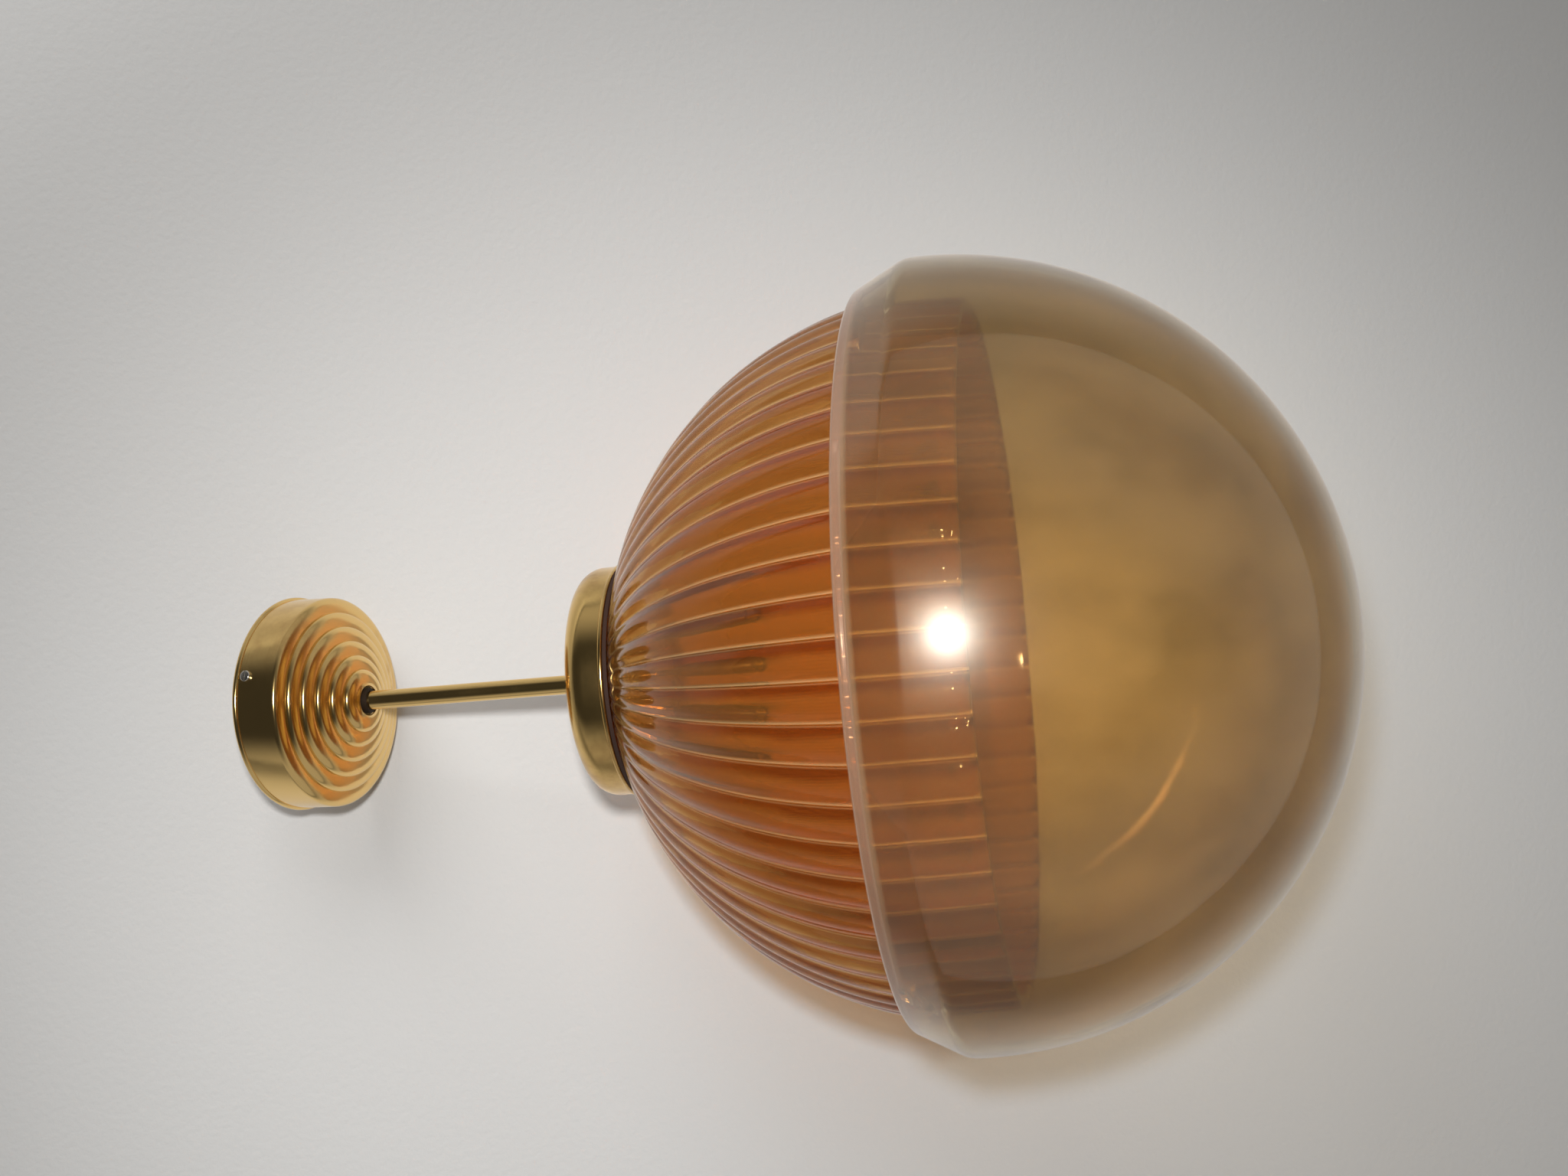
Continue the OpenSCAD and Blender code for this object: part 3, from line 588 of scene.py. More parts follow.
def ribbed_dome():
    """Pressed dome: round ribs outside with narrow grooves, smooth inside, three lugs. With
    it comes each point's place across its rib: -1 in the groove, on to 1, and 0 inside."""
    ball_rows, lug_rows, below_rows, mouth_steps, hollow_rows = 62, 13, 11, 12, 36
    lug_end_round, lug_top_round = 1.4, 0.6
    crown_round, crown_drop, crown_edge = 0.2, 0.7, 0.5
    fade_steps = 5
    first_groove = FIRST_LUG - RIB_ANGLE
    degrees = (first_groove + RIB_ANGLE * (np.arange(RIBS)[:, None] + RIB_SAMPLES)).ravel()
    across = np.tile(2 * RIB_SAMPLES - 1, RIBS)
    off = np.abs(across)
    soft_from = 0.7
    share = (off**2 - np.clip(off - soft_from, 0, None) ** 2 / (1 - soft_from)) / soft_from
    lug = sum(near(degrees, at, LUG_HALF, lug_end_round) for at in LUGS_AT)

    def outer(r, z, groove=1.0, lug_share=0.0):
        """A row outside: less deep where the ribs are narrow, and pushed out at the lugs."""
        deepest = 0.22 * 2 * math.pi * r / RIBS
        ribbed = r - groove * min(RIB_DEPTH, deepest) * share
        return ribbed + lug_share * lug * (LUG_R - ribbed), z

    inner_r = DOME_R - DOME_WALL
    mouth_r = skirt_at(MOUTH_Z)
    crown_t = math.degrees(math.asin(CROWN_HOLE_R / DOME_R)) + crown_edge
    skirt_t = math.degrees(math.asin(SKIRT_R / DOME_R))
    crown_z = DOME_Z + DOME_R * math.cos(math.radians(crown_t))
    rows = [outer(CROWN_HOLE_R + crown_round, crown_z - crown_drop, 0.4)]
    for t in np.radians(np.linspace(crown_t, skirt_t, ball_rows)):
        rows.append(outer(DOME_R * math.sin(t), DOME_Z + DOME_R * math.cos(t)))
    for z in np.linspace(SKIRT_Z, LUG_TOP_Z + 0.8, 4)[1:]:
        rows.append(outer(skirt_at(z), z))
    for z in np.linspace(LUG_TOP_Z, LUG_TOP_Z - LUG_H, lug_rows):
        edge = min(LUG_TOP_Z - z, z - LUG_TOP_Z + LUG_H)
        rows.append(outer(skirt_at(z), z, 1.0, float(smooth(edge / lug_top_round))))
    for z in np.linspace(LUG_TOP_Z - LUG_H, MOUTH_Z + 4, below_rows)[1:]:
        rows.append(outer(skirt_at(z), z))
    lip = DOME_WALL / 2
    for i, (r, z) in enumerate(arc(mouth_r - lip, MOUTH_Z + lip, lip, 0, -180, mouth_steps)):
        rows.append(outer(r, z, max(0.0, 1 - i / fade_steps)))
    outside = len(rows) - 1
    rows.append((mouth_r - DOME_WALL, MOUTH_Z + 12))
    hollow_from = math.acos((SKIRT_Z - DOME_Z) / inner_r)
    hollow_to = math.asin((CROWN_HOLE_R + 0.8) / inner_r)
    for t in np.linspace(hollow_from, hollow_to, hollow_rows):
        rows.append((inner_r * math.sin(t), DOME_Z + inner_r * math.cos(t)))
    crown_in_z = DOME_Z + math.sqrt(inner_r**2 - CROWN_HOLE_R**2)
    rows += [(CROWN_HOLE_R, crown_in_z + 0.9), (CROWN_HOLE_R, crown_in_z + 3.5)]
    inside = np.zeros((len(rows) - outside) * len(across))
    return turned(rows, np.radians(degrees)), np.concatenate([np.tile(across, outside), inside])


def bowl():
    """Blown bowl: a half sphere, a round shoulder, a drawn-in rim with notches and stops."""
    ball_rows, hollow_rows = 70, 60
    pole_gap, shoulder_from = -89.6, -1.5
    notch_gap, notch_edge = 1.5, 0.8
    stop_half, stop_edge, stop_at = 1.5, 1.2, LUG_HALF + 1.8
    stop_h, stop_end_round = 5.8, 1.4
    stop_depths = (0.8, 1.6, 2.6, 3.8, 4.6, 5.4, 6.4)
    degrees = np.linspace(0, 360, 360, endpoint=False)
    notch = sum(near(degrees, at - BAYONET_TURN, LUG_HALF + notch_gap, notch_edge)
                for at in LUGS_AT)
    stop = sum(near(degrees, at + stop_at, stop_half, stop_edge) for at in LUGS_AT)
    inner_r = BOWL_R - BOWL_WALL
    rim_half = RIM_T / 2
    rim_c = (RIM_IN_R + rim_half, RIM_RISE - rim_half)
    shoulder_c = (BOWL_R - SHOULDER, 0.0)
    to_rim = (rim_c[0] - shoulder_c[0], rim_c[1])
    lean = math.degrees(math.atan2(to_rim[1], to_rim[0])
                        - math.acos((SHOULDER - rim_half) / math.hypot(*to_rim)))
    lip_under = RIM_RISE - RIM_LIP
    notch_r = LUG_R + 1

    def lip_row(r, z):
        """A row of the lip, cut back to the notches' radius where they are."""
        return r + notch * max(0.0, notch_r - r), z

    def wall_r(z):
        """Inner radius of the leaning wall under the lip."""
        c, s = math.cos(math.radians(lean)), math.sin(math.radians(lean))
        reach = SHOULDER - BOWL_WALL
        return shoulder_c[0] + reach * c - (z - reach * s) * s / c

    rows = arc(0, 0, BOWL_R, pole_gap, shoulder_from, ball_rows)
    rows += arc(*shoulder_c, SHOULDER, 0, lean, 8)
    rows += arc(*rim_c, rim_half, lean, 90, 9)
    rows += [lip_row(r, z) for r, z in arc(*rim_c, rim_half, 100, 180, 8)]
    rows += [lip_row(RIM_IN_R, z) for z in (lip_under + 0.9, lip_under + 0.25)]
    rows += [lip_row(r, lip_under) for r in (RIM_IN_R + 0.7, wall_r(lip_under) - 0.8)]
    for below in stop_depths:
        z = lip_under - below
        held = float(smooth((stop_h - below) / stop_end_round))
        rows.append((wall_r(z) + stop * held * (RIM_IN_R + 0.4 - wall_r(z)), z))
    rows += arc(*shoulder_c, SHOULDER - BOWL_WALL, lean, 0, 6)
    rows += arc(0, 0, inner_r, shoulder_from, pole_gap, hollow_rows)
    turned_v, faces = turned([(r, z + BOWL_Z) for r, z in rows], np.radians(degrees))
    n, last = len(degrees), len(rows) - 1
    faces = faces[: last * n]
    poles = np.array([[0, 0, BOWL_Z - BOWL_R], [0, 0, BOWL_Z - inner_r]])
    first_pole = len(turned_v)
    for k in range(n):
        on = (k + 1) % n
        faces.append([k, on, first_pole])
        faces.append([last * n + k, last * n + on, first_pole + 1])
    return np.vstack([turned_v, poles]), faces


dome_shape, dome_ribs = ribbed_dome()
dome = piece("glass_dome", dome_shape, "lamp", ["ribbed_dome"], "amber_glass", crease=50)
dome.data.attributes.new("rib", "FLOAT", "POINT").data.foreach_set("value", dome_ribs)
piece("glass_bowl", bowl(), "bowl", ["outer_bowl"], "smoke_amber_glass", crease=50)


# Canopy

TILT_AXIS = Vector((-math.cos(math.radians(LEAN_AZIMUTH)), math.sin(math.radians(LEAN_AZIMUTH)), 0))
CANOPY_PLACE = (
    Matrix.Translation((0, 0, PIVOT_Z * MM))
    @ Matrix.Rotation(math.radians(LEAN), 4, TILT_AXIS)
    @ Matrix.Translation((0, 0, -CANOPY_SHEET * MM / 2))
)


def canopy():
    """Spun canopy: boss, bulging steps, straight wall and a rolled back rim."""
    pitch = (CANOPY_R - BOSS_R) / STEPS
    quarter = np.radians(np.linspace(0, 90, 10))

    def face(t):
        """The boss and the steps, t inside the outer face."""
        corners = []
        for k in range(STEPS + 1):
            r, z = BOSS_R + (k - 1) * pitch, BOSS_RISE + k * STEP_RISE
            for a in quarter[:-1]:
                out, down = math.sin(a) ** STEP_SQUARE, 1 - math.cos(a) ** STEP_SQUARE
                corners.append((r + pitch * out - t, z + STEP_RISE * down + t, 0))
        corners.append((CANOPY_R - t, BOSS_RISE + (STEPS + 1) * STEP_RISE + t, 0))
        return corners

    bead_z = CANOPY_H - CANOPY_BEAD_R
    bead = [(r, z, 0) for r, z in arc(CANOPY_R, bead_z, CANOPY_BEAD_R, -80, 90, 12)]
    hole = [(CANOPY_HOLE_R, CANOPY_SHEET, 0.2), (CANOPY_HOLE_R, 0.0, 0.4)]
    back = [(CANOPY_R - CANOPY_SHEET, CANOPY_H, 0.4)]
    corners = hole + face(0.0) + bead + back + face(CANOPY_SHEET)[::-1]
    return turned(rounded(corners), 288)


def side_screw_turn(i):
    """Places a shape along Z at side screw i of the canopy, its axis pointing outwards."""
    return (Matrix.Rotation(math.radians(FIRST_SIDE_SCREW + 360 * i / SIDE_SCREWS), 4, "Z")
            @ Matrix.Translation((0, 0, CANOPY_H - SIDE_SCREW_H))
            @ Matrix.Rotation(math.radians(90), 4, "Y"))


def hex_nut(z, height, across, bore, angles=144, turn=30.0):
    """A nut with chamfered corners and a bore, its flats turned by an angle."""
    bore_edge, face_share, corner_slope = 0.4, 0.96, math.tan(math.radians(28))
    a = np.linspace(0, 2 * math.pi, angles, endpoint=False)
    side = across / 2 / np.cos((a - math.radians(turn + 30)) % (math.pi / 3) - math.pi / 6)
    face_r = across / 2 * face_share
    drop = (side - face_r) * corner_slope
    top = np.full(angles, face_r)
    end = z + height
    return turned([(bore, z + bore_edge), (bore + bore_edge, z), (top, z), (side, z + drop),
                   (side, end - drop), (top, end), (bore + bore_edge, end),
                   (bore, end - bore_edge)], a)


def slotted_screw(head_r, head_h, shank_r, shank_len, slot_w):
    """A round-edged screw head at z = 0 and up, with a shank below and a cut slot."""
    point, axis_gap, past = 0.3, 0.02, 1
    slot_depth = head_h * 0.42
    profile = rounded([(axis_gap, -shank_len, 0), (shank_r - point, -shank_len, 0),
                       (shank_r, -shank_len + point, 0), (shank_r, 0, 0), (head_r, 0, 0.15),
                       (head_r, head_h, head_h * 0.45), (axis_gap, head_h, 0)], 5)
    screw = to_mesh("screw", turned(profile, 64))
    return cut_out(screw, block((-slot_w / 2, -head_r - past, head_h - slot_depth),
                                (slot_w / 2, head_r + past, head_h + past)))


def shape_of(thing):
    """Takes the shape back from an object, in millimetres, and removes the object."""
    mesh = thing.data
    vertices = np.array([v.co for v in mesh.vertices]) / MM
    faces = [list(p.vertices) for p in mesh.polygons]
    bpy.data.objects.remove(thing)
    return vertices, faces


def canopy_screws():
    """The side screws, their heads just outside the canopy's wall."""
    screw = shape_of(slotted_screw(head_r=3.0, head_h=1.9, shank_r=SIDE_SCREW_R, shank_len=7.9,
                                   slot_w=0.8))
    out = Matrix.Translation((0, 0, CANOPY_R + 0.1))
    return joined(*[moved(screw, side_screw_turn(i) @ out) for i in range(SIDE_SCREWS)])


def canopy_nuts():
    """The press nuts of the side screws, just inside the canopy's wall."""
    wall_gap, thread_gap = 0.2, 0.05
    nut_z = CANOPY_R - CANOPY_SHEET - wall_gap - SIDE_NUT_H
    nut = hex_nut(nut_z, SIDE_NUT_H, SIDE_NUT_AF, SIDE_SCREW_R + thread_gap, 96)
    return joined(*[moved(nut, side_screw_turn(i)) for i in range(SIDE_SCREWS)])


def canopy_bush():
    """Bush with a flange at its top, on which the canopy slides and tilts."""
    in_r = STEM_R + 0.05
    bottom, top = low("canopy_bush").z, high("canopy_bush").z
    flange_r = high("canopy_bush").x
    flange_z = top - BUSH_FLANGE
    return turned(rounded([(in_r, bottom, 0.3), (BUSH_R, bottom, 0.5), (BUSH_R, flange_z, 0.2),
                           (flange_r, flange_z, 0.5), (flange_r, top, 0.5), (in_r, top, 0.3)]), 96)


def canopy_pieces():
    """The canopy with its screws and nuts, and the bush that it hangs on."""
    piece("canopy_spinning", canopy(), "canopy", ["canopy_shell"], "polished_brass",
          CANOPY_PLACE, crease=60)
    piece("canopy_screws", canopy_screws(), "canopy", ["canopy_side_screws"], "nickel",
          CANOPY_PLACE)
    piece("canopy_nuts", canopy_nuts(), "canopy", ["canopy_press_nuts"], "zinc_steel",
          CANOPY_PLACE)
    piece("canopy_bushing", canopy_bush(), "canopy_slider", ["canopy_bush"], "black_nylon")


canopy_pieces()


# Stem and its hardware

# The slot, the tag and the terminal block point this way
WIRES_TURN = Matrix.Rotation(math.radians(-LEAN_AZIMUTH), 4, "Z")


def thread_rows(top_z, bottom_z, angles, per_pitch=8):
    """Rows (r, z) of an outside thread from top_z down, one turn of the helix a pitch."""
    depth, run_out, least_share = 0.5, 0.8, 0.15
    rows = []
    a = np.linspace(0, 1, angles, endpoint=False)
    for z in np.arange(top_z, bottom_z, -THREAD_PITCH / per_pitch):
        share = max(min(1.0, (top_z - z) / run_out, (z - bottom_z) / run_out), least_share)
        wave = np.abs(((z / THREAD_PITCH + a) % 1) * 2 - 1)
        rows.append((THREAD_R - depth * share * np.clip(wave * 1.3 - 0.15, 0, 1), z))
    return rows


def stem():
    """Tube with a thread at each end, bright between, and a slot for the wires."""
    angles, relief, edge = 64, 0.4, 0.4
    tag_top_z = high("earth_tag").z
    shoulder_z = low("top_nut").z - 1
    lower_z = FITTER_Z + 3.4
    rows = [(BORE_R, -edge), (BORE_R + edge, 0), (THREAD_R - 0.5, 0)]
    rows += thread_rows(-0.3, -TOP_THREAD, angles)
    rows += [(THREAD_R - relief, -TOP_THREAD), (THREAD_R - relief, tag_top_z)]
    rows += thread_rows(tag_top_z, shoulder_z, angles)
    rows += [(THREAD_R, shoulder_z), (STEM_R - 0.2, shoulder_z), (STEM_R, shoulder_z - 0.2)]
    rows += [(STEM_R, z) for z in np.linspace(shoulder_z - 1, lower_z + 0.4, 12)]
    rows += [(STEM_R, lower_z + 0.3), (THREAD_R, lower_z)]
    rows += thread_rows(lower_z, STEM_END_Z, angles, 5)
    rows += [(THREAD_R - 0.6, STEM_END_Z), (BORE_R + edge, STEM_END_Z)]
    rows += [(BORE_R, STEM_END_Z + edge)]
    rows += [(BORE_R, z) for z in np.linspace(STEM_END_Z + 4, -4, 10)]
    tube_part = to_mesh("stem", turned(rows, angles))
    slot_w = 2 * (WIRE_Y + WIRE_R) + 0.8
    slot = block((0, -slot_w / 2, SLOT_END_Z), (STEM_R + 1, slot_w / 2, SLOT_TOP_Z))
    return cut_out(tube_part, moved(slot, WIRES_TURN))


def toothed_washer(node, in_r):
    """A lock washer with twelve teeth, as thick as its node."""
    z0, z1, r_out = low(node).z, high(node).z, high(node).x
    tooth_pitch, tooth_half, tooth_depth, edge = 30, 12.2, 1.5, 0.12
    degrees = np.linspace(0, 360, 288, endpoint=False)
    tooth = np.abs((degrees % tooth_pitch) - tooth_pitch / 2) < tooth_half
    r = np.where(tooth, r_out, r_out - tooth_depth)
    return turned([(in_r, z0), (in_r, z1), (r - edge, z1), (r, z1 - edge), (r, z0 + edge),
                   (r - edge, z0)], np.radians(degrees))


def hardware():
    """The stem with its nuts, lock washers and earth tag."""
    piece("stem_pipe", stem(), "lamp", ["stem_tube"], "polished_brass")
    for name, node, turn in (("top_hex", "top_nut", 30 - LEAN_AZIMUTH),
                             ("fitter_hex", "fitter_nut", 30), ("clamp_hex", "clamp_nut", 30)):
        height = high(node).z - low(node).z
        nut = hex_nut(low(node).z, height, NUT_AF, STEM_R, 144, turn)
        piece(name, nut, "lamp", [node], "aged_brass")
    for name, node in (("top_lock", "top_washer"), ("fitter_lock", "fitter_washer"),
                       ("clamp_lock", "clamp_washer")):
        piece(name, toothed_washer(node, STEM_R + 0.1), "lamp", [node], "zinc_steel")
    softened("earth_lug", "earth_tag", 0.15, "contact_brass")


hardware()


# Fitter and the clamp of the dome


def fitter():
    """Spun cup with a round shoulder and a rolled lip."""
    hole_r = STEM_R + 0.1

    def face(t):
        """The top and the shoulder, t inside the outer face."""
        return [(hole_r, -t)] + arc(FITTER_R - FITTER_ROUND, -FITTER_ROUND, FITTER_ROUND - t,
                                    90, 0, 18)

    height = FITTER_Z - LIP_Z
    bead_top = 2.9 - height
    bead = arc(FITTER_R, FITTER_BEAD_R - height, FITTER_BEAD_R, 75, -90, 10)
    inside = [(FITTER_R - FITTER_SHEET, -height)] + face(FITTER_SHEET)[::-1]
    rows = face(0.0) + [(FITTER_R, bead_top)] + bead + inside
    return turned([(r, z + FITTER_Z) for r, z in rows], 288)


def ring(corners, angles=192):
    """A turned piece from corners (r, z, radius)."""
    return turned(rounded(corners), angles)


def collar():
    """Round collar on the fitter, round the stem."""
    top, out_r = high("fitter_collar").z, high("fitter_collar").x
    return ring([(STEM_R, FITTER_Z, 0), (out_r, FITTER_Z, 0.3), (out_r, top, 0.9),
                 (STEM_R, top, 0.3)], 96)


def rubber(node, flat_z, glass_r, gap, in_r):
    """A rubber ring with one flat face, and one that follows the glass at a gap."""
    out_r = high(node).x
    in_z, out_z = (DOME_Z + math.sqrt(glass_r**2 - r**2) + gap for r in (in_r, out_r))
    return ring([(in_r, flat_z, 0.3), (out_r, flat_z, 0.5), (out_r, out_z, 0.5),
                 (in_r, in_z, 0.3)])


def clamp_plate():
    """Round plate that the clamp's nut presses up."""
    z0, z1, out_r = low("clamp_plate").z, high("clamp_plate").z, high("clamp_plate").x
    in_r = STEM_R + 0.1
    return ring([(in_r, z0, 0), (out_r, z0, 0.7), (out_r, z1, 0.7), (in_r, z1, 0)])


def dome_mounts():
    """The fitter with its collar, and what holds the dome's crown."""
    rubber_gap = 0.3
    piece("fitter_spinning", fitter(), "lamp", ["fitter_cap"], "aged_brass", crease=50)
    piece("fitter_ring", collar(), "lamp", ["fitter_collar"], "polished_brass", crease=60)
    lip = rubber("lip_gasket", high("lip_gasket").z, DOME_R, rubber_gap, FITTER_R - 2.6)
    piece("lip_rubber", lip, "lamp", ["lip_gasket"], "black_rubber")
    clamp = rubber("clamp_gasket", low("clamp_gasket").z, DOME_R - DOME_WALL, -rubber_gap,
                   CROWN_HOLE_R + 1)
    piece("clamp_rubber", clamp, "lamp", ["clamp_gasket"], "black_rubber")
    piece("clamp_disc", clamp_plate(), "lamp", ["clamp_plate"], "zinc_steel")


dome_mounts()


# Lampholder


def holder_cap():
    """Moulded cap: a collar on the stem that spreads into a dome."""
    collar_r, collar_h, dome_h = 8.5, 9.5, 12
    z = HOLDER_TOP_Z

    def dome(t):
        """A quarter of an ellipse, t inside the outer face."""
        return [(collar_r + (HOLDER_R - t - collar_r) * math.cos(a),
                 z - collar_h - dome_h + (dome_h - t) * math.sin(a))
                for a in np.radians(np.linspace(86, 0, 16))]

    outer = [(STEM_R, z), (collar_r - 1, z), (collar_r - 0.3, z - 0.3), (collar_r, z - 1)]
    outer += [(collar_r, z - collar_h + 0.8), (collar_r + 0.25, z - collar_h)]
    outer += dome(0.0) + [(HOLDER_R, HOLDER_JOINT_Z + 0.4), (HOLDER_R - 0.3, HOLDER_JOINT_Z)]
    inner = [(HOLDER_R - HOLDER_WALL, HOLDER_JOINT_Z)] + dome(HOLDER_WALL)[::-1]
    inner += [(STEM_R, z - collar_h - HOLDER_WALL)]
    return turned(outer + inner, 144)


def holder_sleeve():
    """Sleeve with grip grooves and a neck that screws into the cap."""
    in_r = SHELL_R + 0.95
    neck_r = HOLDER_R - HOLDER_WALL - 0.2
    neck_in_r = neck_r - 1.4
    grip_r, grip_pitch = 0.8, 3
    top = high("holder_sleeve").z
    joint = HOLDER_JOINT_Z - 0.3
    shoulder_z = high("holder_screw_shell").z
    corners = [(in_r, HOLDER_END_Z, 0.6), (HOLDER_R - 1.5, HOLDER_END_Z, 1.0),
               (HOLDER_R, HOLDER_JOINT_Z - 14, 0)]
    for i in (3, 2, 1):
        grip_z = HOLDER_JOINT_Z - grip_pitch - grip_pitch * i
        corners += [(r, z, 0) for r, z in arc(HOLDER_R + 0.2, grip_z, grip_r, 256, 104, 8)]
    corners += [(HOLDER_R, joint, 0.4), (neck_r, joint, 0.1), (neck_r, top, 0.4),
                (neck_in_r, top, 0.3), (neck_in_r, shoulder_z, 0.2),
                (in_r, shoulder_z, 0.2)]
    return turned(rounded(corners), 144)


def screw_shell():
    """Thin brass shell pressed into the round thread of the bulb's cap."""
    angles, rows, run_out = 96, 72, 1.6
    pitch, reach, sheet = 3.6, 0.9, 0.4
    a = np.linspace(0, 1, angles, endpoint=False)
    bottom, top = low("holder_screw_shell").z, high("holder_screw_shell").z
    neck_z = top - SHELL_NECK_H
    outer, inner = [], []
    for z in np.linspace(bottom, neck_z, rows):
        edge = float(smooth(min(z - bottom, neck_z - z) / run_out))
        wave = 0.5 - 0.5 * np.cos(2 * math.pi * ((z - bottom) / pitch + a))
        r = SHELL_R + 0.1 - reach * edge * wave
        outer.append((r + sheet, z))
        inner.append((r, z))
    hole_r = SHELL_NECK_R - 3
    outer += [(SHELL_NECK_R + sheet, neck_z + sheet), (SHELL_NECK_R + sheet, top)]
    inner += [(SHELL_NECK_R, neck_z), (SHELL_NECK_R, top - sheet), (hole_r, top - sheet)]
    return turned(outer + [(hole_r, top)] + inner[::-1], angles)


def lampholder():
    """The lampholder's cap, sleeve and screw shell, and the small parts in it."""
    piece("holder_dome", holder_cap(), "lamp", ["holder_cap"], "dark_phenolic")
    piece("holder_barrel", holder_sleeve(), "lamp", ["holder_sleeve"], "dark_phenolic")
    piece("holder_thread", screw_shell(), "lamp", ["holder_screw_shell"], "contact_brass",
          crease=50)
    softened("holder_core", "holder_insert", 0.4, "porcelain")
    softened("holder_tongue", "holder_centre_contact", 0.12, "contact_brass")
    softened("holder_posts", "holder_terminals", 0.25, "contact_brass")
    softened("holder_grub", "holder_grub_screw", 0.1, "zinc_steel")


lampholder()


# Wiring


def lamp_wire(side):
    """Points given one by one: from the terminal block, through the slot, down to the holder."""
    y = side * WIRE_Y
    post_x, post_z = 9.5, high("holder_insert").z + 2
    return [(BLOCK_X + 4.5, side * POLE_PITCH, POLE_Z),
            (BLOCK_X - 1.2, side * POLE_PITCH, POLE_Z),
            (BLOCK_X - 3.2, side * (POLE_PITCH - 2), POLE_Z - 0.8),
            (STEM_R + 1.2, side * (WIRE_Y + 0.9), POLE_Z - 2.2),
            (STEM_R - 1, y, POLE_Z - 4.4),
            (1, y, POLE_Z - 8),
            (0, y, -32),
            (0, y, STEM_END_Z - 0.2),
            (side * 0.7, y, STEM_END_Z - 1.5),
            (side * 2.6, y, post_z),
            (side * (post_x - 2.7), y, post_z)]


def earth_wire():
    """Points given one by one: from the middle pole up to the tag."""
    tag_x = 9.5
    return [(BLOCK_X + 4.5, 0, POLE_Z), (tag_x + 0.9, 0, POLE_Z + 0.1), (tag_x, 0, POLE_Z + 1),
            (tag_x, 0, TAG_Z)]


def wiring():
    """The three wires and the terminal block."""
    for name, node, path, slot in (
            ("live_lead", "wire_live", lamp_wire(1), "wire_brown"),
            ("neutral_lead", "wire_neutral", lamp_wire(-1), "wire_blue"),
            ("earth_lead", "wire_earth", earth_wire(), "wire_green")):
        piece(name, moved(tube(path, WIRE_R), WIRES_TURN), "lamp", [node], slot)
    softened("connector", "terminal_block", 0.5, "ivory_plastic")
    softened("connector_screws", "block_screws", 0.12, "zinc_steel")


wiring()


# Camera

# Size of the picture, focal length and place of the bowl's centre in it, in pixels
PICTURE_W_PX = 2048
PICTURE_H_PX = 1536
FOCAL_PX = 2600
BOWL_X_PX = 1246
BOWL_Y_PX = 854
SENSOR_W = 36.0
# Metres from the camera to the bowl's centre
BOWL_DISTANCE = 1.014
# Degrees by which the lamp's axis turns in the picture, and towards the camera
AXIS_IN_PLANE = -5.0
AXIS_TO_CAMERA = 11.0


def camera():
    """Stands where the photograph was taken, found from the lamp's axis and its bowl."""
    turn, tip = math.radians(AXIS_IN_PLANE), math.radians(AXIS_TO_CAMERA)
    cad_z = -Vector((math.cos(tip) * math.cos(turn), math.cos(tip) * math.sin(turn), -math.sin(tip)))
    cad_y = (Vector((0, 0, 1)) - cad_z * cad_z.z).normalized()
    cad_x = cad_y.cross(cad_z)
    right, down, forward = (Vector((cad_x[i], cad_y[i], cad_z[i])) for i in range(3))
    ray = Vector(((BOWL_X_PX - PICTURE_W_PX / 2) / FOCAL_PX,
                  (BOWL_Y_PX - PICTURE_H_PX / 2) / FOCAL_PX, 1)).normalized() * BOWL_DISTANCE
    eye = Vector((0, 0, BOWL_Z * MM)) - right * ray.x - down * ray.y - forward * ray.z
    data = bpy.data.cameras.new("camera")
    data.sensor_width = SENSOR_W
    data.lens = SENSOR_W * FOCAL_PX / PICTURE_W_PX
    data.clip_start = 0.01
    view = bpy.data.objects.new("camera", data)
    facing = Matrix((right, -down, -forward)).transposed().to_4x4()
    view.matrix_world = Matrix.Translation(eye) @ facing
    bpy.context.scene.collection.objects.link(view)
    bpy.context.scene.camera = view
    return eye, right, down, forward


EYE, RIGHT, DOWN, FORWARD = camera()


# Stage and light

# How far the sheet leans from upright in the lamp's frame, and, in metres, how far it is
# from the origin and how far it reaches each way
SHEET_LEAN = math.radians(25.5)
SHEET_AT = 0.0525
SHEET_HALF = 3.0
SHEET_COLOR = (0.745, 0.74, 0.725)
# Colour of the surroundings, and the share of it that shows through glass
BACKDROP = (0.5, 0.49, 0.475)
SEEN_THROUGH_GLASS = 0.25
# The room that brass and glass mirror: how much it brightens to its top and bottom and to
# its right, and where and how dark and bright it is
ROOM_UPRIGHT = 0.9
ROOM_RIGHT = 0.35
ROOM_DARK_TO = -0.35
ROOM_BRIGHT_FROM = 0.5
ROOM_DARK = 0.08
ROOM_BRIGHT = 0.85
# Metres from the lens to the flash
FLASH_LEFT = 0.028
FLASH_UP = 0.081
# Watts
FLASH_POWER = 34.0
CEILING_POWER = 9.5


def sheet_material():
    """Pale cloth, seen from its front only."""
    look = Look("pale_sheet", SHEET_COLOR, roughness=0.9)
    look.set("Specular IOR Level", 0.1)
    look.bump(look.noise(260.0, detail=4.0), 0.3)
    show_through(look, look.add("NewGeometry").outputs["Backfacing"], (1.0, 1.0, 1.0))
    return look.material


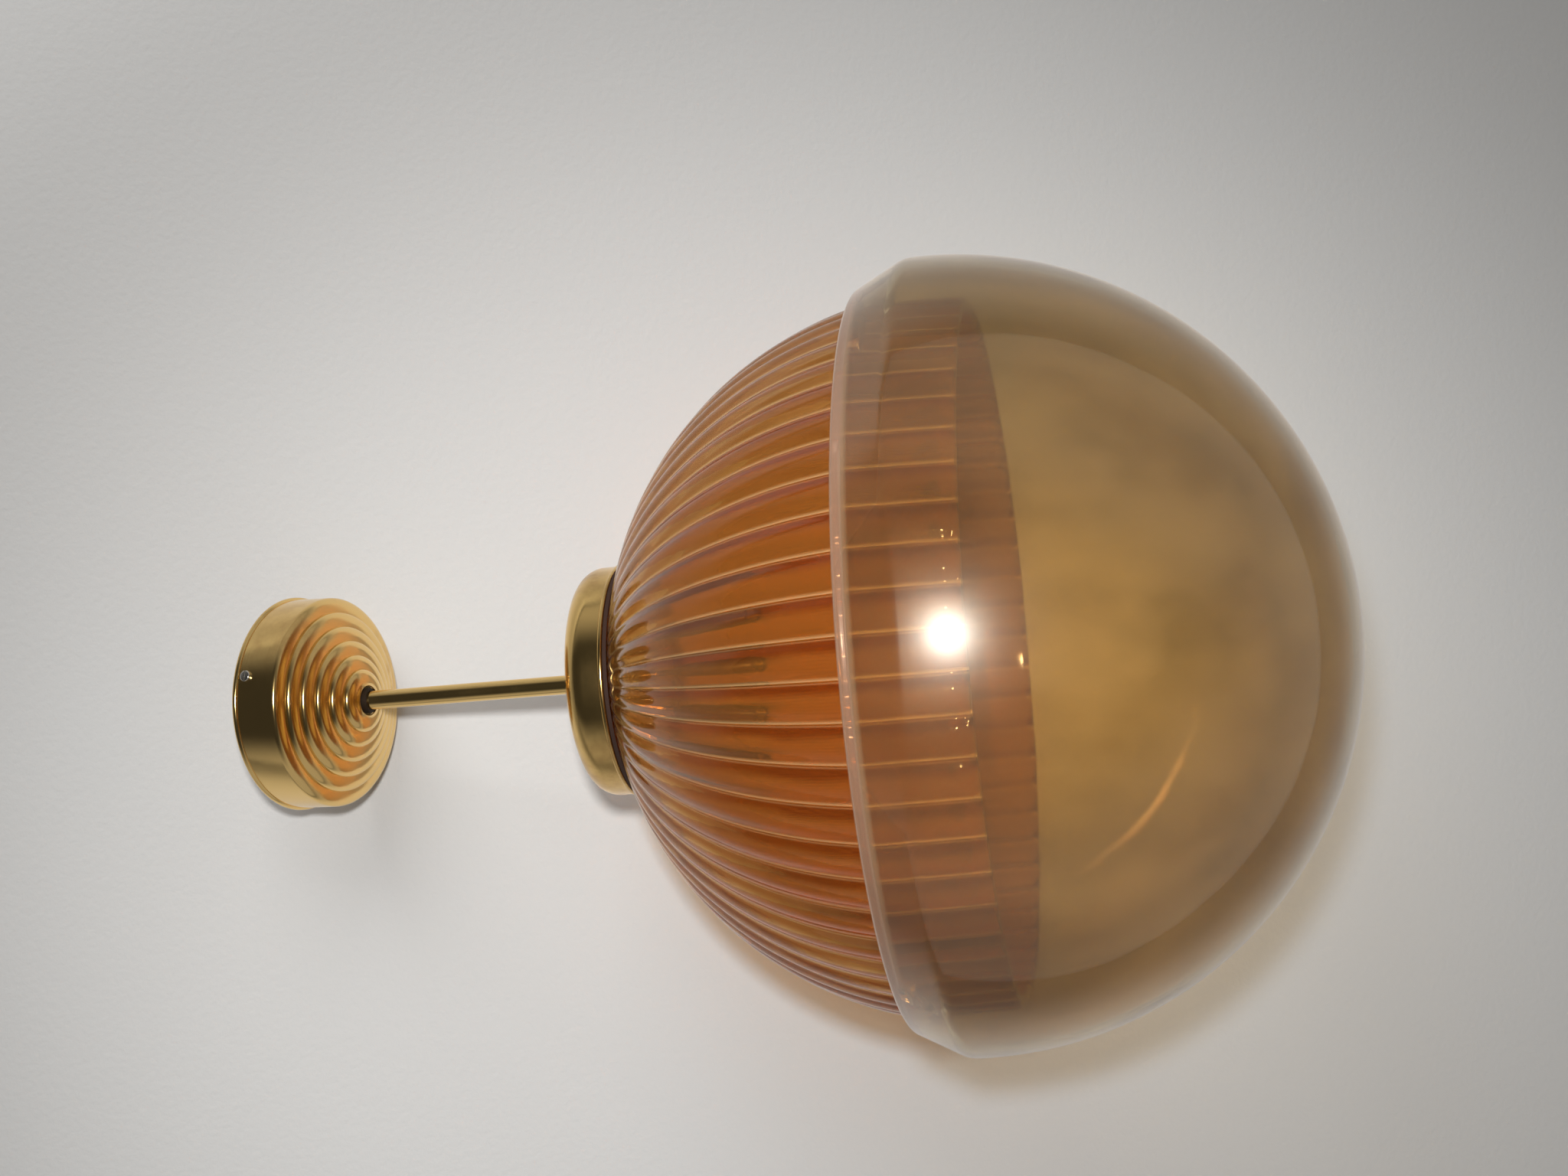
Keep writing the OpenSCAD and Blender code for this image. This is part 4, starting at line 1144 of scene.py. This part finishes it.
def sheet():
    """The sheet that the lamp lies on, touching the bowl and the loose canopy."""
    normal = Vector((0, -math.cos(SHEET_LEAN), -math.sin(SHEET_LEAN)))
    centre = -normal * SHEET_AT
    along = Vector((1, 0, 0))
    up = normal.cross(along)
    corners = [centre + along * a * SHEET_HALF + up * b * SHEET_HALF
               for a, b in ((-1, -1), (1, -1), (1, 1), (-1, 1))]
    mesh = bpy.data.meshes.new("sheet")
    mesh.from_pydata([tuple(c) for c in corners], [], [(0, 1, 2, 3)])
    ground = bpy.data.objects.new("sheet", mesh)
    bpy.context.scene.collection.objects.link(ground)
    mesh.update()
    if mesh.polygons[0].normal.dot(normal) < 0:
        mesh.flip_normals()
    mesh.materials.append(sheet_material())


def world():
    """Pale surroundings, which mirror as a dark room on the side of the camera and the left."""
    surroundings = bpy.data.worlds.new("studio")
    surroundings.use_nodes = True
    tree = surroundings.node_tree

    def add(kind, **settings):
        """A new node of a kind, with its settings."""
        node = tree.nodes.new("ShaderNode" + kind)
        for key, value in settings.items():
            setattr(node, key, value)
        return node

    def along(direction):
        """How far the ray's heading runs along a direction, from -1 to 1."""
        dot = add("VectorMath", operation="DOT_PRODUCT")
        dot.inputs[1].default_value = direction
        tree.links.new(heading, dot.inputs[0])
        return dot.outputs["Value"]

    backdrop = tree.nodes["Background"]
    backdrop.inputs["Color"].default_value = (*BACKDROP, 1)
    backdrop.inputs["Strength"].default_value = 1.0
    room = add("Background")
    room.inputs["Color"].default_value = (*BACKDROP, 1)
    heading = add("TexCoord").outputs["Generated"]
    upright = add("Math", operation="ABSOLUTE")
    tree.links.new(along(DOWN), upright.inputs[0])
    open_side = add("Math", operation="MULTIPLY_ADD")
    tree.links.new(upright.outputs[0], open_side.inputs[0])
    open_side.inputs[1].default_value = ROOM_UPRIGHT
    tree.links.new(along(FORWARD + RIGHT * ROOM_RIGHT), open_side.inputs[2])
    dim = add("MapRange", interpolation_type="SMOOTHSTEP")
    for key, value in (("From Min", ROOM_DARK_TO), ("From Max", ROOM_BRIGHT_FROM),
                       ("To Min", ROOM_DARK), ("To Max", ROOM_BRIGHT)):
        dim.inputs[key].default_value = value
    tree.links.new(open_side.outputs[0], dim.inputs["Value"])
    tree.links.new(dim.outputs["Result"], room.inputs["Strength"])
    path = add("LightPath")
    seen = add("Math", operation="MULTIPLY_ADD", use_clamp=True)
    tree.links.new(path.outputs["Is Transmission Ray"], seen.inputs[0])
    seen.inputs[1].default_value = SEEN_THROUGH_GLASS
    tree.links.new(path.outputs["Is Camera Ray"], seen.inputs[2])
    mix = add("MixShader")
    tree.links.new(seen.outputs[0], mix.inputs["Fac"])
    tree.links.new(room.outputs[0], mix.inputs[1])
    tree.links.new(backdrop.outputs[0], mix.inputs[2])
    tree.links.new(mix.outputs[0], tree.nodes["World Output"].inputs["Surface"])
    bpy.context.scene.world = surroundings


def add_light(kind, name, power, spot, aim, **settings):
    """A light of a kind at spot, turned to aim."""
    data = bpy.data.lights.new(name, kind)
    data.energy = power
    for key, value in settings.items():
        setattr(data, key, value)
    light = bpy.data.objects.new(name, data)
    light.location = spot
    light.rotation_euler = (Vector(aim) - Vector(spot)).to_track_quat("-Z", "Y").to_euler()
    bpy.context.scene.collection.objects.link(light)
    return light


def lights():
    """The camera's own flash, and a soft light from above that nothing mirrors."""
    flash_at = EYE - RIGHT * FLASH_LEFT - DOWN * FLASH_UP
    flash_aim = Vector((0.02, 0.15, -0.22)) + DOWN * 0.24 + RIGHT * 0.12
    add_light("SPOT", "flash", FLASH_POWER, flash_at, flash_aim, spot_size=math.radians(70),
              spot_blend=1.0, shadow_soft_size=0.028)
    ceiling_at = EYE - RIGHT * 0.5 - DOWN * 0.9 + FORWARD * 0.2
    ceiling = add_light("AREA", "ceiling", CEILING_POWER, ceiling_at, (0, 0.1, -0.25), size=0.8)
    ceiling.visible_glossy = False
    ceiling.visible_transmission = False


sheet()
world()
lights()

scene = bpy.context.scene
scene.view_settings.view_transform = "Standard"
scene.cycles.max_bounces = 24
scene.cycles.transmission_bounces = 20
scene.cycles.transparent_max_bounces = 24
scene.cycles.glossy_bounces = 8
